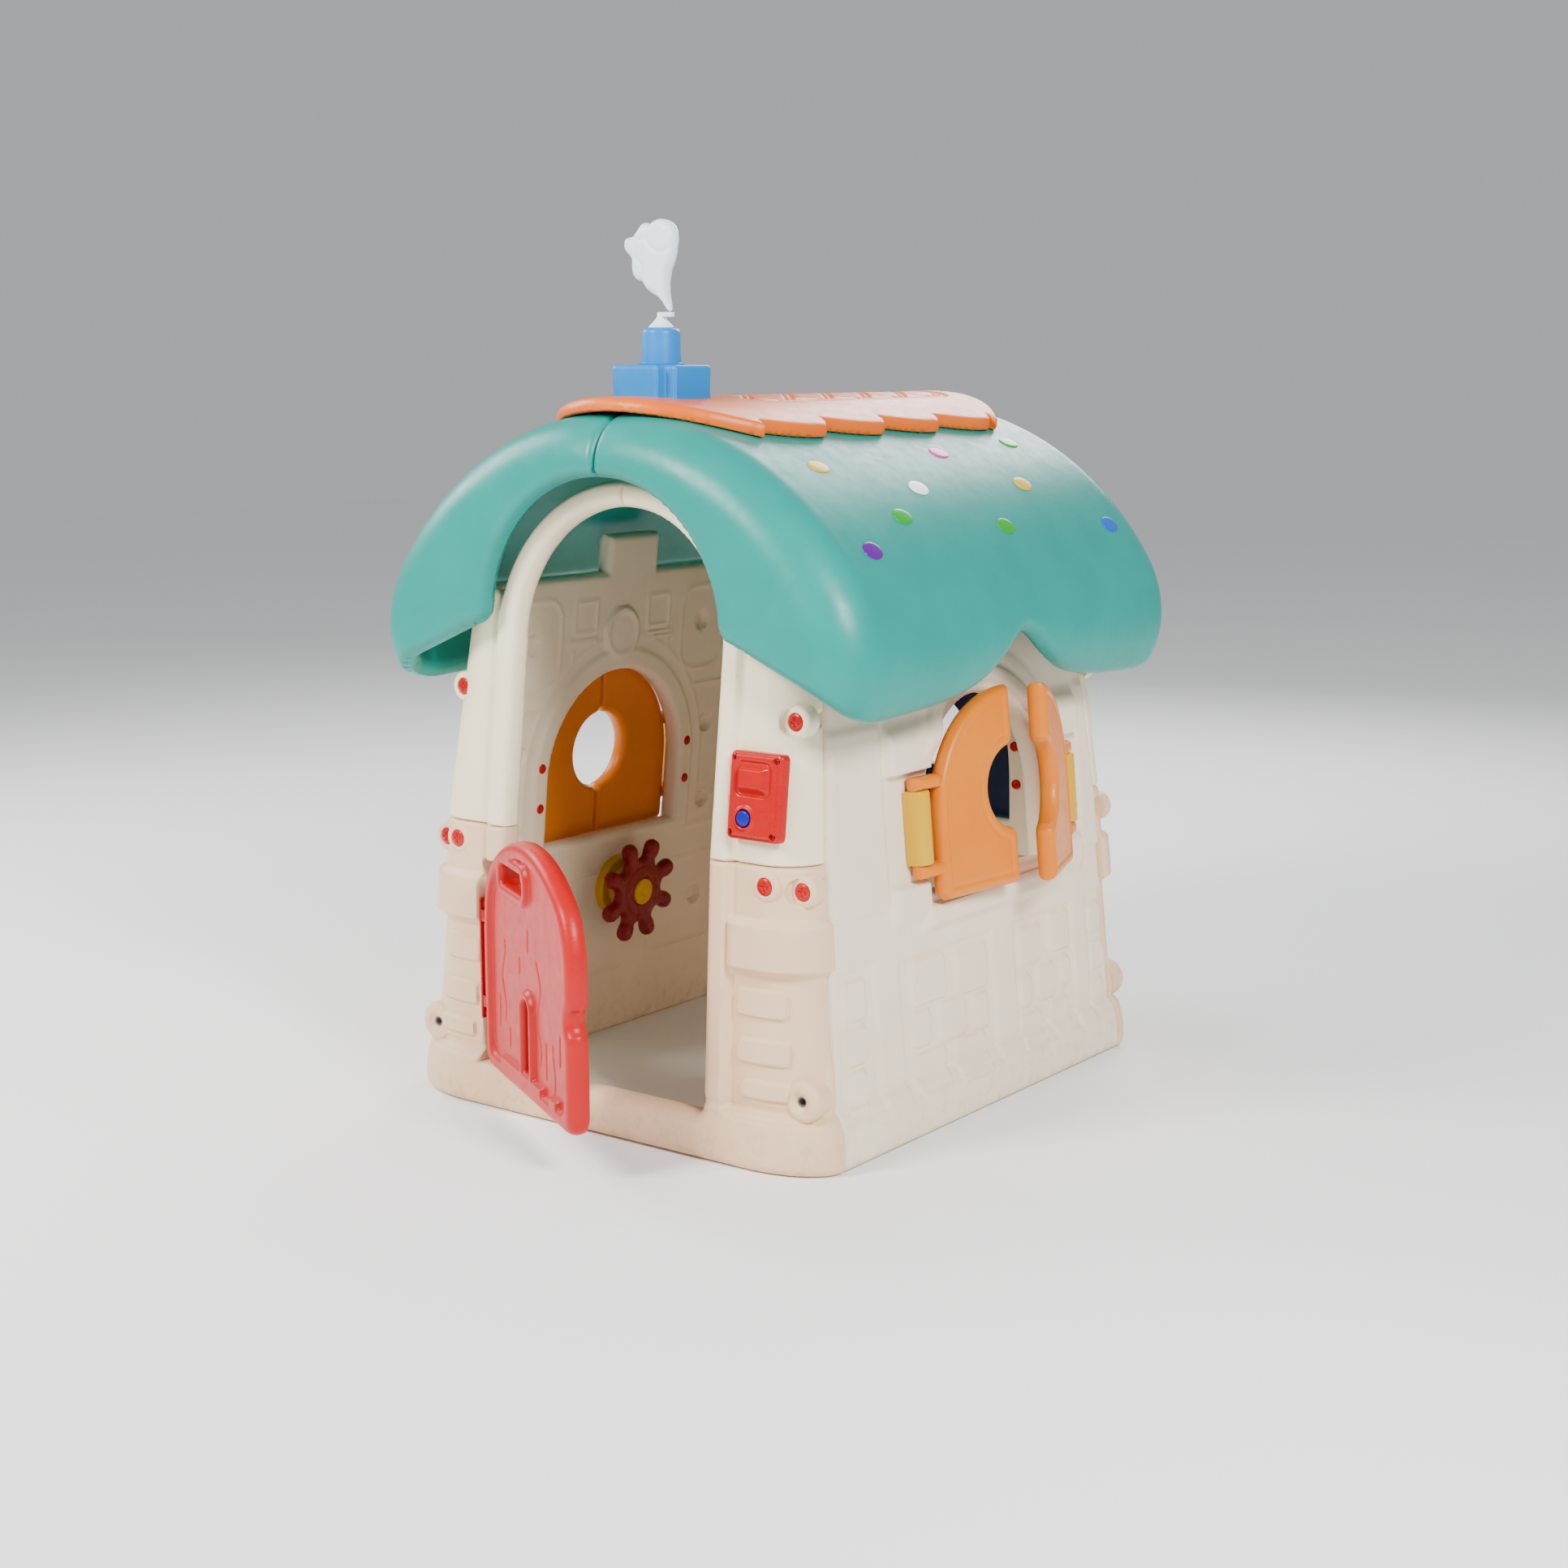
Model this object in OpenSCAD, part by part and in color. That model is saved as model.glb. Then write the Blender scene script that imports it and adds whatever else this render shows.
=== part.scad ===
// Moulded plastic playhouse: tapered walls with an arched doorway, windows with
// D-shaped shutters, a puffy two-part roof with a ridge cap and a chimney.
// Millimetres, +Z up. The origin is on the floor below the middle of the house,
// -Y is the doorway side, +X and -X are the window sides.

/* [House] */
// Half width of the walls at the floor, along X
base_half_w = 451; // [380:1:560]
// Half depth of the walls at the floor, along Y
base_half_d = 530; // [440:1:650]
// Height of the seam between the lower and the upper front and back panels
seam_z = 502; // [470:1:560]
// Inward lean of the window walls, per unit of height
side_lean = 0.095; // [0.06:0.005:0.12]
// Inward lean of the lower front and back panels, per unit of height
low_lean = 0.044; // [0.02:0.002:0.06]
// Inward lean of the upper front and back panels, per unit of height
up_lean = 0.108; // [0.08:0.002:0.12]
// Thickness of a double-walled wall panel
wall_t = 36; // [28:1:44]
// Radius of the upright corners of the house
corner_r = 75; // [50:1:80]
// Reach of a corner's curve along the front at the floor
corner_low = 140; // [100:1:150]
// Gap between neighbouring panels at a seam
panel_gap = 0.6; // [0.4:0.1:0.9]
// Height of the rolled foot round the base
foot_h = 97; // [70:1:110]
// How far the foot stands out from the walls at the floor
foot_out = 8; // [4:1:16]

/* [Doorway] */
// Clear width of the doorway
door_open_w = 444; // [380:2:500]
// Height of the threshold above the floor
threshold_z = 78; // [60:1:85]
// Height of the arch's centre above the floor
arch_z = 836; // [800:1:860]
// Width of the rolled trim round the doorway
trim_w = 45; // [30:1:55]
// How far the trim stands out from the wall
trim_out = 10; // [6:1:14]

/* [Windows] */
// Radius of a window's arched top and half its width
win_r = 190; // [160:1:200]
// Height of a window's sill, up the wall
win_sill = 408; // [390:1:430]
// Height of the window arch's centre, up the wall
win_arch = 538; // [520:1:560]
// How far the side windows lie off the middle of their wall
win_shift = 54; // [0:1:60]

/* [Shutters] */
// Thickness of a shutter leaf
leaf_t = 34; // [24:1:36]
// How far a leaf overlaps the wall round the window
leaf_lap = 14; // [8:1:16]
// Gap between a pair of closed leaves, and between a leaf and the wall
leaf_gap = 3; // [1:0.5:6]
// Radius of the half-round cut-out in a leaf's free edge
leaf_hole_r = 72; // [40:1:75]
// Height of the cut-out's middle, up the wall
leaf_hole_z = 565; // [540:1:580]
// Distance of the hinge axis from the window's middle
hinge_off = 242; // [238:1:260]
// Radius of the yellow hinge barrel
barrel_r = 22; // [14:1:24]
// Length of the hinge barrel
barrel_h = 126; // [80:1:130]
// Height of the hinge barrel's middle, up the wall
barrel_z = 526; // [515:1:535]
// Radius of a shutter hinge pin
hinge_pin_r = 4; // [3:0.5:6]
// Radial running clearance of a hinge pin in an ear
pin_clear = 0.08; // [0.02:0.01:0.1]
// Height of each ear that embraces the barrel
ear_h = 22; // [14:1:26]
// Open angle of the right wall's front leaf as it stands
front_leaf_open = 8; // [0:1:60]
// Open angle of the right wall's rear leaf as it stands
rear_leaf_open = 21; // [0:1:60]

/* [Door] */
// Thickness of the door
door_t = 39; // [28:1:44]
// Height of the top of the door's arch, up the wall
door_top = 514; // [490:1:540]
// How far the closed door stands out from the foot of the wall
door_proud = 3; // [0:1:8]
// Gap between the door and the doorway's edges
door_gap = 4; // [3:0.5:8]
// Angle at which the door stands open
door_open = 30; // [0:1:60]
// Radius of the door hinge pin
door_pin_r = 4.5; // [3.5:0.5:5]
// Radius of the door's hinge knuckle
knuckle_r = 12; // [9:0.5:14]
// Distance of the door's hinge axis beyond the doorway's edge
hinge_in = 38; // [34:1:44]
// Radius of the arched top of the door
door_arch_r = 310; // [280:5:340]
// Length of the hand slot near the top of the door
slot_w = 120; // [80:5:150]
// Height of the hand slot
slot_h = 34; // [24:1:40]
// Half width of the arched gap low in the door
gap_r = 17; // [12:1:26]
// Height of the arched gap
gap_h = 125; // [90:5:150]

/* [Roof] */
// How much larger the radius of the roof's crown is than the half width of the walls
crown_over = 124; // [100:1:180]
// Height of the crown's top above the floor
crown_top = 1215; // [1180:1:1260]
// Thickness of the roof shell
roof_t = 75; // [60:1:90]
// How far the roof stands out beyond the foot of the window walls
roof_over_side = 69; // [50:1:90]
// How far the roof stands out beyond the foot of the front and back walls
roof_over_end = 2; // [0:1:30]
// Thickness of the roof's rolled front and back ends
end_t = 44; // [30:1:46]
// Height of the lowest point of the roof's side lobes
lobe_z = 716; // [690:1:740]
// Height of the notch between the two lobes of a side
notch_h = 130; // [90:1:140]
// Half width of that notch at half its height
notch_w = 100; // [70:1:120]
// Radius of the arched opening in the roof's ends
end_arch_r = 250; // [240:1:262]
// Height of the top of the arched opening in the roof's ends
end_arch_top = 1110; // [1100:1:1120]

/* [Ridge and chimney] */
// Half width of the ridge cap
cap_half_w = 232; // [180:1:250]
// Height of the ridge cap's top above the floor
cap_top = 1240; // [1225:1:1260]
// Half length of the ridge cap
cap_half_l = 490; // [420:1:500]
// Number of scallops along each side of the cap
scallops = 5; // [3:1:7]
// Depth of the scallops
scallop_d = 26; // [10:1:34]
// Width of the chimney's cross-shaped base
chimney_w = 140; // [100:1:150]
// Height of the chimney's base
chimney_h = 50; // [40:1:70]
// Radius of the chimney pot
pot_r = 32; // [24:1:36]
// Height of the chimney pot above its base
pot_h = 60; // [40:1:80]
// Distance of the chimney in front of the ridge's middle
chimney_y = 347; // [300:1:360]
// Thickness of the smoke plate
smoke_t = 30; // [16:1:34]
// Height of the smoke plate above its socket
smoke_h = 152; // [120:1:170]

/* [Steering wheel] */
// Overall radius of the wheel with its knobs
wheel_r = 103; // [90:1:120]
// Number of knobs on the wheel
knobs = 8; // [6:1:10]
// Thickness of the wheel
wheel_t = 24; // [18:1:28]
// Radius of the wheel's axle
axle_r = 9; // [7:1:12]
// Distance of the wheel's middle from the wall
wheel_stand = 58; // [50:1:70]
// Height of the wheel's axis, up the wall
wheel_z = 302; // [290:1:330]
// Radius of the round base of the wheel
wheel_base_r = 60; // [50:1:70]

/* [Doorbell] */
// Width of the doorbell
bell_w = 104; // [90:1:108]
// Height of the doorbell
bell_h = 142; // [120:1:150]
// Depth of the doorbell
bell_d = 26; // [22:1:34]
// Radius of the button
button_r = 13; // [10:1:16]
// Travel of the button
button_travel = 4; // [2:0.5:5]
// Distance of the doorbell's middle from the middle of the doorway
bell_x = 321; // [316:1:330]
// Height of the doorbell's middle above the floor
bell_z = 614; // [590:1:640]

/* [Screws and dots] */
// Radius of the head of a big panel screw
screw_r = 15; // [10:1:16]
// Radius of the round boss round a panel screw
boss_r = 27; // [24:1:32]
// Radius of the through hole in a bottom boss
anchor_r = 9; // [6:0.5:11]
// Radius of a hinge screw's head
small_screw_r = 10; // [7:1:11]
// Half length of an oval roof dot
dot_a = 24; // [18:1:30]
// Half width of an oval roof dot
dot_b = 17; // [12:1:20]

/* [Hidden] */
$fn = 64;
round_fn = 32;
seam_clear = panel_gap / 2;
side_deg = atan(side_lean);
low_deg = atan(low_lean);
up_deg = atan(up_lean);
wall_top = 915;
tower_half_w = 72;
tower_shift = 30;
seam_half_d = base_half_d - low_lean * seam_z;
crown_r = base_half_w + crown_over;
roof_half_w = base_half_w + roof_over_side;
roof_half_l = base_half_d + roof_over_end;
crown_z = crown_top - crown_r;
under_r = crown_r - roof_t;
door_half = door_open_w / 2;
trim_r = door_half + trim_w;
leaf_r = win_r + leaf_lap;
axis_out = leaf_t / 2 + leaf_gap / 2;
cap_clear = 0.3;
cap_r = (pow(cap_half_w, 2) + pow(65, 2)) / (2 * 65);
cap_z = cap_top - cap_r;
hinge_x = -door_half - hinge_in;
door_face = base_half_d + door_proud;
door_axis_y = -door_face + door_t / 2;
door_low = threshold_z + 2;
hinge_lo = 176;
hinge_hi = 352;
strip_t = 4;
door_lo = hinge_x + knuckle_r + 2;
door_hi = door_half - door_gap;
door_mid = (door_lo + door_hi) / 2;
recess_top = 440;
recess_x = hinge_x - knuckle_r - 6;
recess_y = -door_face + door_t + door_gap;
stop_t = 24;
slot_off = 66;
slot_low = 425;
gap_low = 125;
lug_h = 22;
lug_gap = 0.5;
screw_depth = 16;
screw_clear = 0.3;

// ---------- frames and outlines ----------

// Half width and half depth of the walls at a height
function half_w(z) = base_half_w - side_lean * z;
function half_d(z) = z < seam_z ? base_half_d - low_lean * z : seam_half_d - up_lean * (z - seam_z);

// Extrudes an outline in (x, z) along Y, and one in (y, z) along X
module along_y(y0, y1) {
    translate([0, y1, 0]) rotate([90, 0, 0]) linear_extrude(y1 - y0) children();
}
module along_x(x0, x1) {
    translate([x0, 0, 0]) rotate([90, 0, 90]) linear_extrude(x1 - x0) children();
}

// Frames on a wall's outer face: X out of the wall, Y along it and Z up it for
// the window walls; X along the wall, -Y out of it and Z up it for the others
module on_right() translate([base_half_w, 0, 0]) rotate([0, -side_deg, 0]) children();
module on_left() rotate(180) on_right() children();
module on_front_low() translate([0, -base_half_d, 0]) rotate([-low_deg, 0, 0]) children();
module on_front_up() translate([0, -seam_half_d, seam_z]) rotate([-up_deg, 0, 0]) children();
// The back wall's window frame, like that of a window wall
module on_back() {
    translate([0, seam_half_d, seam_z]) rotate([up_deg, 0, 0]) rotate(90)
        translate([0, 0, -seam_z]) children();
}

// Reach of a corner's curve along the front at a height
function corner_reach(z) = corner_r + (corner_low - corner_r) * max(0, 1 - z / seam_z);

// One horizontal slice of the house's outline, inset by a wall thickness
module slice(z, hw, hd, inset) {
    ry = max(corner_r - inset, 20);
    rx = max(corner_reach(z) - inset, 20);
    for (sx = [-1, 1], sy = [-1, 1])
        translate([sx * (hw - inset - rx), sy * (hd - inset - ry), z])
            scale([rx / ry, 1, 1]) cylinder(h = 1, r = ry, $fn = round_fn);
}
module low_body(inset) {
    z0 = -20;
    z1 = seam_z + 20;
    hull() {
        slice(z0, half_w(z0), base_half_d - low_lean * z0, inset);
        slice(z1, half_w(z1), base_half_d - low_lean * z1, inset);
    }
}
module up_body(inset) {
    z0 = seam_z - 20;
    z1 = 1130;
    hull() {
        slice(z0, half_w(z0), seam_half_d + up_lean * 20, inset);
        slice(z1, half_w(z1), half_d(z1), inset);
    }
}
// The rolled foot under the walls
module foot_body() {
    roll = foot_h * 0.62;
    hull() {
        translate([0, 0, 0]) slice(0, base_half_w + foot_out - 5, base_half_d + foot_out - 7, 0);
        translate([0, 0, 12]) slice(0, base_half_w + foot_out, base_half_d + foot_out - 2, 0);
        translate([0, 0, roll - 1]) slice(0, base_half_w + foot_out - 2, base_half_d + foot_out - 4, 0);
        translate([0, 0, foot_h - 1]) slice(0, half_w(foot_h), half_d(foot_h), 0);
    }
}

// Where the window walls end, seen from the side: lower and upper stretches
module side_region(grow) {
    polygon([for (s = [-1, 1], z = s < 0 ? [-40, seam_z, 1200] : [1200, seam_z, -40])
        [s * (half_d(z) - corner_r + grow), z]]);
}
module front_region() {
    along_x(-700, 700) difference() {
        translate([-700, -1]) square([700, 1300]);
        side_region(seam_clear);
    }
}
module back_region() mirror([0, 1, 0]) front_region();

// Outline of the doorway, as seen from the front
module doorway_outline(grow) {
    union() {
        translate([0, arch_z]) circle(r = door_half + grow, $fn = 96);
        translate([-door_half - grow, threshold_z - grow]) square([door_open_w + 2 * grow,
            arch_z - threshold_z + grow]);
    }
}
// Outline of a window's opening, in a wall frame's (y, z)
module window_outline(grow) {
    intersection() {
        union() {
            translate([0, win_arch]) circle(r = win_r + grow, $fn = 96);
            translate([-win_r - grow, win_sill]) square([2 * (win_r + grow), win_arch - win_sill]);
        }
        translate([-win_r - grow, win_sill - grow]) square([2 * (win_r + grow), 600]);
    }
}
module window_cut() along_x(-wall_t - 60, 60) window_outline(0);

// ---------- panel details shared by the front and the back ----------

// Places at which a panel screw or a boss sits on a lower corner post, x and z
post_screws = [[337, 470], [391, 463]];
anchor_at = [405, 124];
arch_screw = [362, 732];

// Depth of the corner's outline behind the front plane at a distance from the middle
function corner_drop(x, z) = let (r = corner_reach(z), c = half_w(z) - r)
    x < c ? 0 : corner_r * (1 - sqrt(max(1 - pow((x - c) / r, 2), 0)));

module boss_at(p, front, r, depth) {
    translate([p[0], -half_d(p[1]) + corner_drop(p[0], p[1]) - front, p[1]])
        rotate([-90, 0, 0]) cylinder(h = depth, r = r, $fn = 48);
}
// The belt block, the bosses and the post's screw seats of one lower corner post
module lower_post_blocks(side) {
    mirror([side < 0 ? 1 : 0, 0, 0]) {
        intersection() {
            front_region();
            translate([0, -7, 0]) low_body(2);
            on_front_low() translate([trim_r + 4, -20, 330]) cube([300, 60, 85]);
        }
        for (p = post_screws) boss_at(p, 2, boss_r, 30);
        boss_at(anchor_at, 6, 36, 46);
    }
}
module lower_post_holes(side) {
    mirror([side < 0 ? 1 : 0, 0, 0]) {
        for (p = post_screws) boss_at(p, 4, screw_r + screw_clear, screw_depth - 2);
        translate([anchor_at[0], -base_half_d - 30, anchor_at[1]])
            rotate([-90, 0, 0]) cylinder(h = 140, r = anchor_r);
    }
}

// ---------- front ----------

module front_lower_panel() {
    color("#DED3C6") difference() {
        union() {
            difference() {
                intersection() {
                    front_region();
                    union() {
                        low_body(0);
                        foot_body();
                    }
                    translate([-700, -700, 0]) cube([1400, 700, seam_z - seam_clear]);
                }
                low_body(wall_t);
            }
            intersection() {
                along_y(-700, 0) doorway_outline(trim_w);
                on_front_low() translate([-300, -trim_out, 40])
                    cube([600, trim_out + 4, seam_z - 46]);
                translate([-700, -700, 0]) cube([1400, 700, seam_z - seam_clear]);
            }
            lower_post_blocks(1);
            lower_post_blocks(-1);
            // stop behind the recess, against which the door closes
            translate([recess_x - 20, recess_y, threshold_z - 10])
                cube([door_lo - recess_x + 40, stop_t, recess_top - threshold_z + 30]);
        }
        along_y(-700, 0) doorway_outline(0);
        lower_post_holes(1);
        lower_post_holes(-1);
        // recess in the left jamb for the door and its hinge
        translate([recess_x, -700, threshold_z])
            cube([door_lo - recess_x + 40, 700 + recess_y, recess_top - threshold_z]);
    }
}

module arch_half() {
    difference() {
        union() {
            difference() {
                intersection() {
                    front_region();
                    up_body(0);
                    translate([seam_clear, -700, seam_z + seam_clear]) cube([700, 700, 700]);
                    along_y(-700, 0) union() {
                        translate([0, arch_z]) circle(r = trim_r, $fn = 96);
                        translate([0, seam_z]) square([600, wall_top - 10 - seam_z]);
                    }
                }
                up_body(wall_t);
            }
            intersection() {
                along_y(-700, 0) doorway_outline(trim_w);
                on_front_up() translate([0, -trim_out, -5]) cube([300, trim_out + 4, 700]);
                translate([seam_clear, -700, seam_z + seam_clear]) cube([700, 700, 700]);
            }
            boss_at(arch_screw, 3, boss_r, 30);
        }
        along_y(-700, 0) doorway_outline(0);
        boss_at(arch_screw, 5, screw_r + screw_clear, screw_depth);
    }
}
module front_arch_right() {
    color("#E8E0D0") arch_half();
}
module front_arch_left() {
    color("#E8E0D0") mirror([1, 0, 0]) arch_half();
}

// ---------- window walls ----------

module wall_outline() {
    intersection() {
        side_region(-seam_clear);
        union() {
            translate([-600, 0]) square([1200, wall_top]);
            translate([tower_shift - tower_half_w, 0]) square([2 * tower_half_w, 1130]);
        }
    }
}
module window_wall() {
    difference() {
        union() {
            intersection() {
                on_right() translate([-wall_t, -600, -60]) cube([wall_t, 1200, 1200]);
                along_x(0, 700) wall_outline();
                along_y(-600, 600) union() {
                    translate([0, crown_z]) circle(r = under_r - cap_clear, $fn = 128);
                    translate([-700, -1]) square([1400, wall_top]);
                }
            }
            // rolled foot
            intersection() {
                difference() {
                    foot_body();
                    low_body(wall_t);
                }
                along_x(0, 700) intersection() {
                    side_region(-seam_clear);
                    translate([-600, 0]) square([1200, foot_h]);
                }
            }
            // sill below the window
            on_right() translate([-2, win_shift - win_r - 12, win_sill - 40])
                cube([16, 2 * win_r + 24, 24]);
        }
        on_right() translate([0, win_shift, 0]) window_cut();
        on_right() translate([0, win_shift, 0]) clip_screw_holes();
    }
}
module right_wall() {
    color("#E6DED8") window_wall();
}
module left_wall() {
    color("#E6DED8") rotate(180) difference() {
        window_wall();
        on_right() translate([-wall_t - 1, wheel_shift, wheel_z]) rotate([0, 90, 0])
            cylinder(h = 19, r = axle_r + 0.3);
    }
}

// ---------- back ----------

// The lower back panel dips in its middle to carry the window panel
back_dip = 300;
module back_split(grow) {
    polygon([[-700, seam_z + grow], [-back_dip + grow, seam_z + grow], [-back_dip + grow, 340 + grow],
        [back_dip - grow, 340 + grow], [back_dip - grow, seam_z + grow], [700, seam_z + grow],
        [700, 1300], [-700, 1300]]);
}
module back_lower_panel() {
    color("#DED3C6") difference() {
        union() {
            difference() {
                intersection() {
                    back_region();
                    union() {
                        low_body(0);
                        foot_body();
                    }
                    translate([-700, 0, 0]) cube([1400, 700, seam_z + 10]);
                }
                low_body(wall_t);
            }
            rotate(180) lower_post_blocks(1);
            rotate(180) lower_post_blocks(-1);
        }
        along_y(0, 700) back_split(-seam_clear);
        rotate(180) lower_post_holes(1);
        rotate(180) lower_post_holes(-1);
    }
}
module back_upper_panel() {
    color("#E8E0D0") difference() {
        union() {
            difference() {
                intersection() {
                    back_region();
                    union() {
                        intersection() {
                            up_body(0);
                            translate([-700, 0, seam_z]) cube([1400, 700, 700]);
                        }
                        intersection() {
                            low_body(0);
                            translate([-700, 0, 0]) cube([1400, 700, seam_z]);
                        }
                    }
                    along_y(0, 700) intersection() {
                        back_split(seam_clear);
                        union() {
                            translate([0, arch_z]) circle(r = trim_r, $fn = 96);
                            translate([-600, 0]) square([1200, wall_top - 10]);
                        }
                    }
                }
                union() {
                    intersection() {
                        up_body(wall_t);
                        translate([-700, 0, seam_z]) cube([1400, 700, 700]);
                    }
                    intersection() {
                        low_body(wall_t);
                        translate([-700, 0, 0]) cube([1400, 700, seam_z]);
                    }
                }
            }
            rotate(180) boss_at(arch_screw, 3, boss_r, 30);
            rotate(180) mirror([1, 0, 0]) boss_at(arch_screw, 3, boss_r, 30);
        }
        on_back() window_cut();
        on_back() clip_screw_holes();
        on_back() clip_screw_seats();
        rotate(180) boss_at(arch_screw, 5, screw_r + screw_clear, screw_depth);
        rotate(180) mirror([1, 0, 0]) boss_at(arch_screw, 5, screw_r + screw_clear, screw_depth);
    }
}

// ---------- shutters ----------

// One leaf of a pair, closed, in a wall frame whose middle is the window's:
// the hinge is on the -Y side and the cut-out on the +Y edge
module leaf() {
    inner = leaf_gap / 2;
    outer = axis_out + leaf_t / 2;
    mid = barrel_z;
    difference() {
        union() {
            along_x(outer - leaf_t, outer) difference() {
                intersection() {
                    union() {
                        translate([0, win_arch]) circle(r = leaf_r, $fn = 96);
                        translate([-leaf_r, win_sill - leaf_lap])
                            square([leaf_r, win_arch - win_sill + leaf_lap]);
                    }
                    translate([-leaf_r, win_sill - leaf_lap]) square([leaf_r - inner, 600]);
                }
                translate([0, leaf_hole_z]) circle(r = leaf_hole_r, $fn = 64);
            }
            for (s = [-1, 1]) translate([0, 0, mid + s * (barrel_h + ear_h + 2 * lug_gap) / 2]) {
                translate([outer - leaf_t, -hinge_off, -ear_h / 2])
                    cube([leaf_t, hinge_off - leaf_r + 8, ear_h]);
                translate([axis_out, -hinge_off, -ear_h / 2]) cylinder(h = ear_h, r = leaf_t / 2);
            }
        }
        translate([axis_out, -hinge_off, mid - barrel_h])
            cylinder(h = 2 * barrel_h, r = hinge_pin_r + pin_clear);
    }
}
// A leaf turned open by an angle about its own hinge
module open_leaf(angle) {
    translate([axis_out, -hinge_off, 0]) rotate(-angle) translate([-axis_out, hinge_off, 0]) leaf();
}
// A wall frame with its middle at the window, flipped for the other leaf
module window_side(side) {
    mirror([0, side < 0 ? 0 : 1, 0]) children();
}
module right_front_shutter() {
    color("#FFA046") on_right() translate([0, win_shift, 0])
        window_side(-1) open_leaf(front_leaf_open);
}
module right_rear_shutter() {
    color("#FFA046") on_right() translate([0, win_shift, 0])
        window_side(1) open_leaf(rear_leaf_open);
}
module left_rear_shutter() {
    color("#FFA046") on_left() translate([0, win_shift, 0]) window_side(-1) open_leaf(0);
}
module left_front_shutter() {
    color("#FFA046") on_left() translate([0, win_shift, 0]) window_side(1) open_leaf(0);
}
module back_left_shutter() {
    color("#2F7FC0") on_back() window_side(1) open_leaf(0);
}
module back_right_shutter() {
    color("#2F7FC0") on_back() window_side(-1) open_leaf(0);
}

// Both hinges of one window in a wall frame: clip, pin and screws
screw_off = 212;
screw_rise = 38;
module both_hinges() {
    for (s = [-1, 1]) window_side(s) children();
}
module hinge_clip() {
    difference() {
        intersection() {
            translate([axis_out, -hinge_off, barrel_z - barrel_h / 2])
                cylinder(h = barrel_h, r = barrel_r);
            translate([cap_clear, -hinge_off - barrel_r, 0])
                cube([axis_out + barrel_r, 2 * barrel_r, seam_z + barrel_z]);
        }
        translate([axis_out, -hinge_off, 0]) cylinder(h = 900, r = hinge_pin_r + pin_clear);
    }
}
module hinge_pin() {
    reach = barrel_h / 2 + ear_h + lug_gap;
    translate([axis_out, -hinge_off, barrel_z - reach]) cylinder(h = 2 * reach, r = hinge_pin_r);
}
module clip_screw_spots() {
    for (s = [-1, 1]) translate([-wall_t, -screw_off, barrel_z + s * screw_rise])
        rotate([0, 90, 0]) children();
}
module clip_screw_holes() {
    both_hinges() clip_screw_spots() translate([0, 0, -1]) cylinder(h = 19, r = 3.3);
}
// Flat seats for the screw heads where the back panel's inner face leans away
module clip_screw_seats() {
    both_hinges() clip_screw_spots() translate([0, 0, -6 - cap_clear])
        cylinder(h = 6 + cap_clear / 2, r = small_screw_r + cap_clear);
}
module hinge_screws() {
    clip_screw_spots() {
        translate([0, 0, -4 - cap_clear]) cylinder(h = 4, r = small_screw_r);
        translate([0, 0, -4]) cylinder(h = 20, r = 3);
    }
}
module all_windows() {
    on_right() translate([0, win_shift, 0]) both_hinges() children();
    on_left() translate([0, win_shift, 0]) both_hinges() children();
    on_back() both_hinges() children();
}
module shutter_hinge_clips() {
    color("#FFDC28") all_windows() hinge_clip();
}
module shutter_hinge_pins() {
    color("#C8C8C8") all_windows() hinge_pin();
}
module shutter_hinge_screws() {
    color("#E63232") all_windows() hinge_screws();
}

// ---------- door ----------

module door_outline() {
    union() {
        intersection() {
            translate([door_lo, door_low]) square([door_hi - door_lo, 600]);
            translate([door_mid, door_top - door_arch_r]) circle(r = door_arch_r, $fn = 96);
        }
        translate([door_lo, door_low]) square([door_hi - door_lo, 200]);
    }
}
// Plan of the door: a plate whose upright edges are fully rounded
module door_plan() {
    nose_r = 0.56 * door_t;
    intersection() {
        translate([door_lo, -door_face]) square([door_hi - door_lo, door_t]);
        union() {
            for (x = [door_lo + nose_r, door_hi - nose_r])
                translate([x, door_axis_y]) circle(r = nose_r);
            translate([door_lo + nose_r, door_axis_y - door_t])
                square([door_hi - door_lo - 2 * nose_r, 2 * door_t]);
        }
    }
}
// The door closed in its doorway
module closed_door() {
    difference() {
        union() {
            intersection() {
                along_y(-door_face - 1, -door_face + door_t + 1) door_outline();
                linear_extrude(door_top + 10) door_plan();
            }
            translate([hinge_x, door_axis_y, hinge_lo + lug_h + lug_gap])
                cylinder(h = hinge_hi - hinge_lo - 2 * (lug_h + lug_gap), r = knuckle_r);
            translate([hinge_x, door_axis_y - 9, hinge_lo + lug_h + lug_gap])
                cube([knuckle_r + 16, 18, hinge_hi - hinge_lo - 2 * (lug_h + lug_gap)]);
        }
        translate([hinge_x, door_axis_y, 0]) cylinder(h = 600, r = door_pin_r + pin_clear);
        // handle slot near the top
        along_y(-700, -300) translate([door_mid - slot_off - slot_w / 2, slot_low]) square([slot_w, slot_h]);
        // arched gap low in the door
        along_y(-700, -300) union() {
            translate([door_mid, gap_low + gap_h - gap_r]) circle(r = gap_r, $fn = 48);
            translate([door_mid - gap_r, gap_low]) square([2 * gap_r, gap_h - gap_r]);
        }
    }
}
module door() {
    color("#FA4B48") translate([hinge_x, door_axis_y, 0]) rotate(-door_open)
        translate([-hinge_x, -door_axis_y, 0]) closed_door();
}
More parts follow.
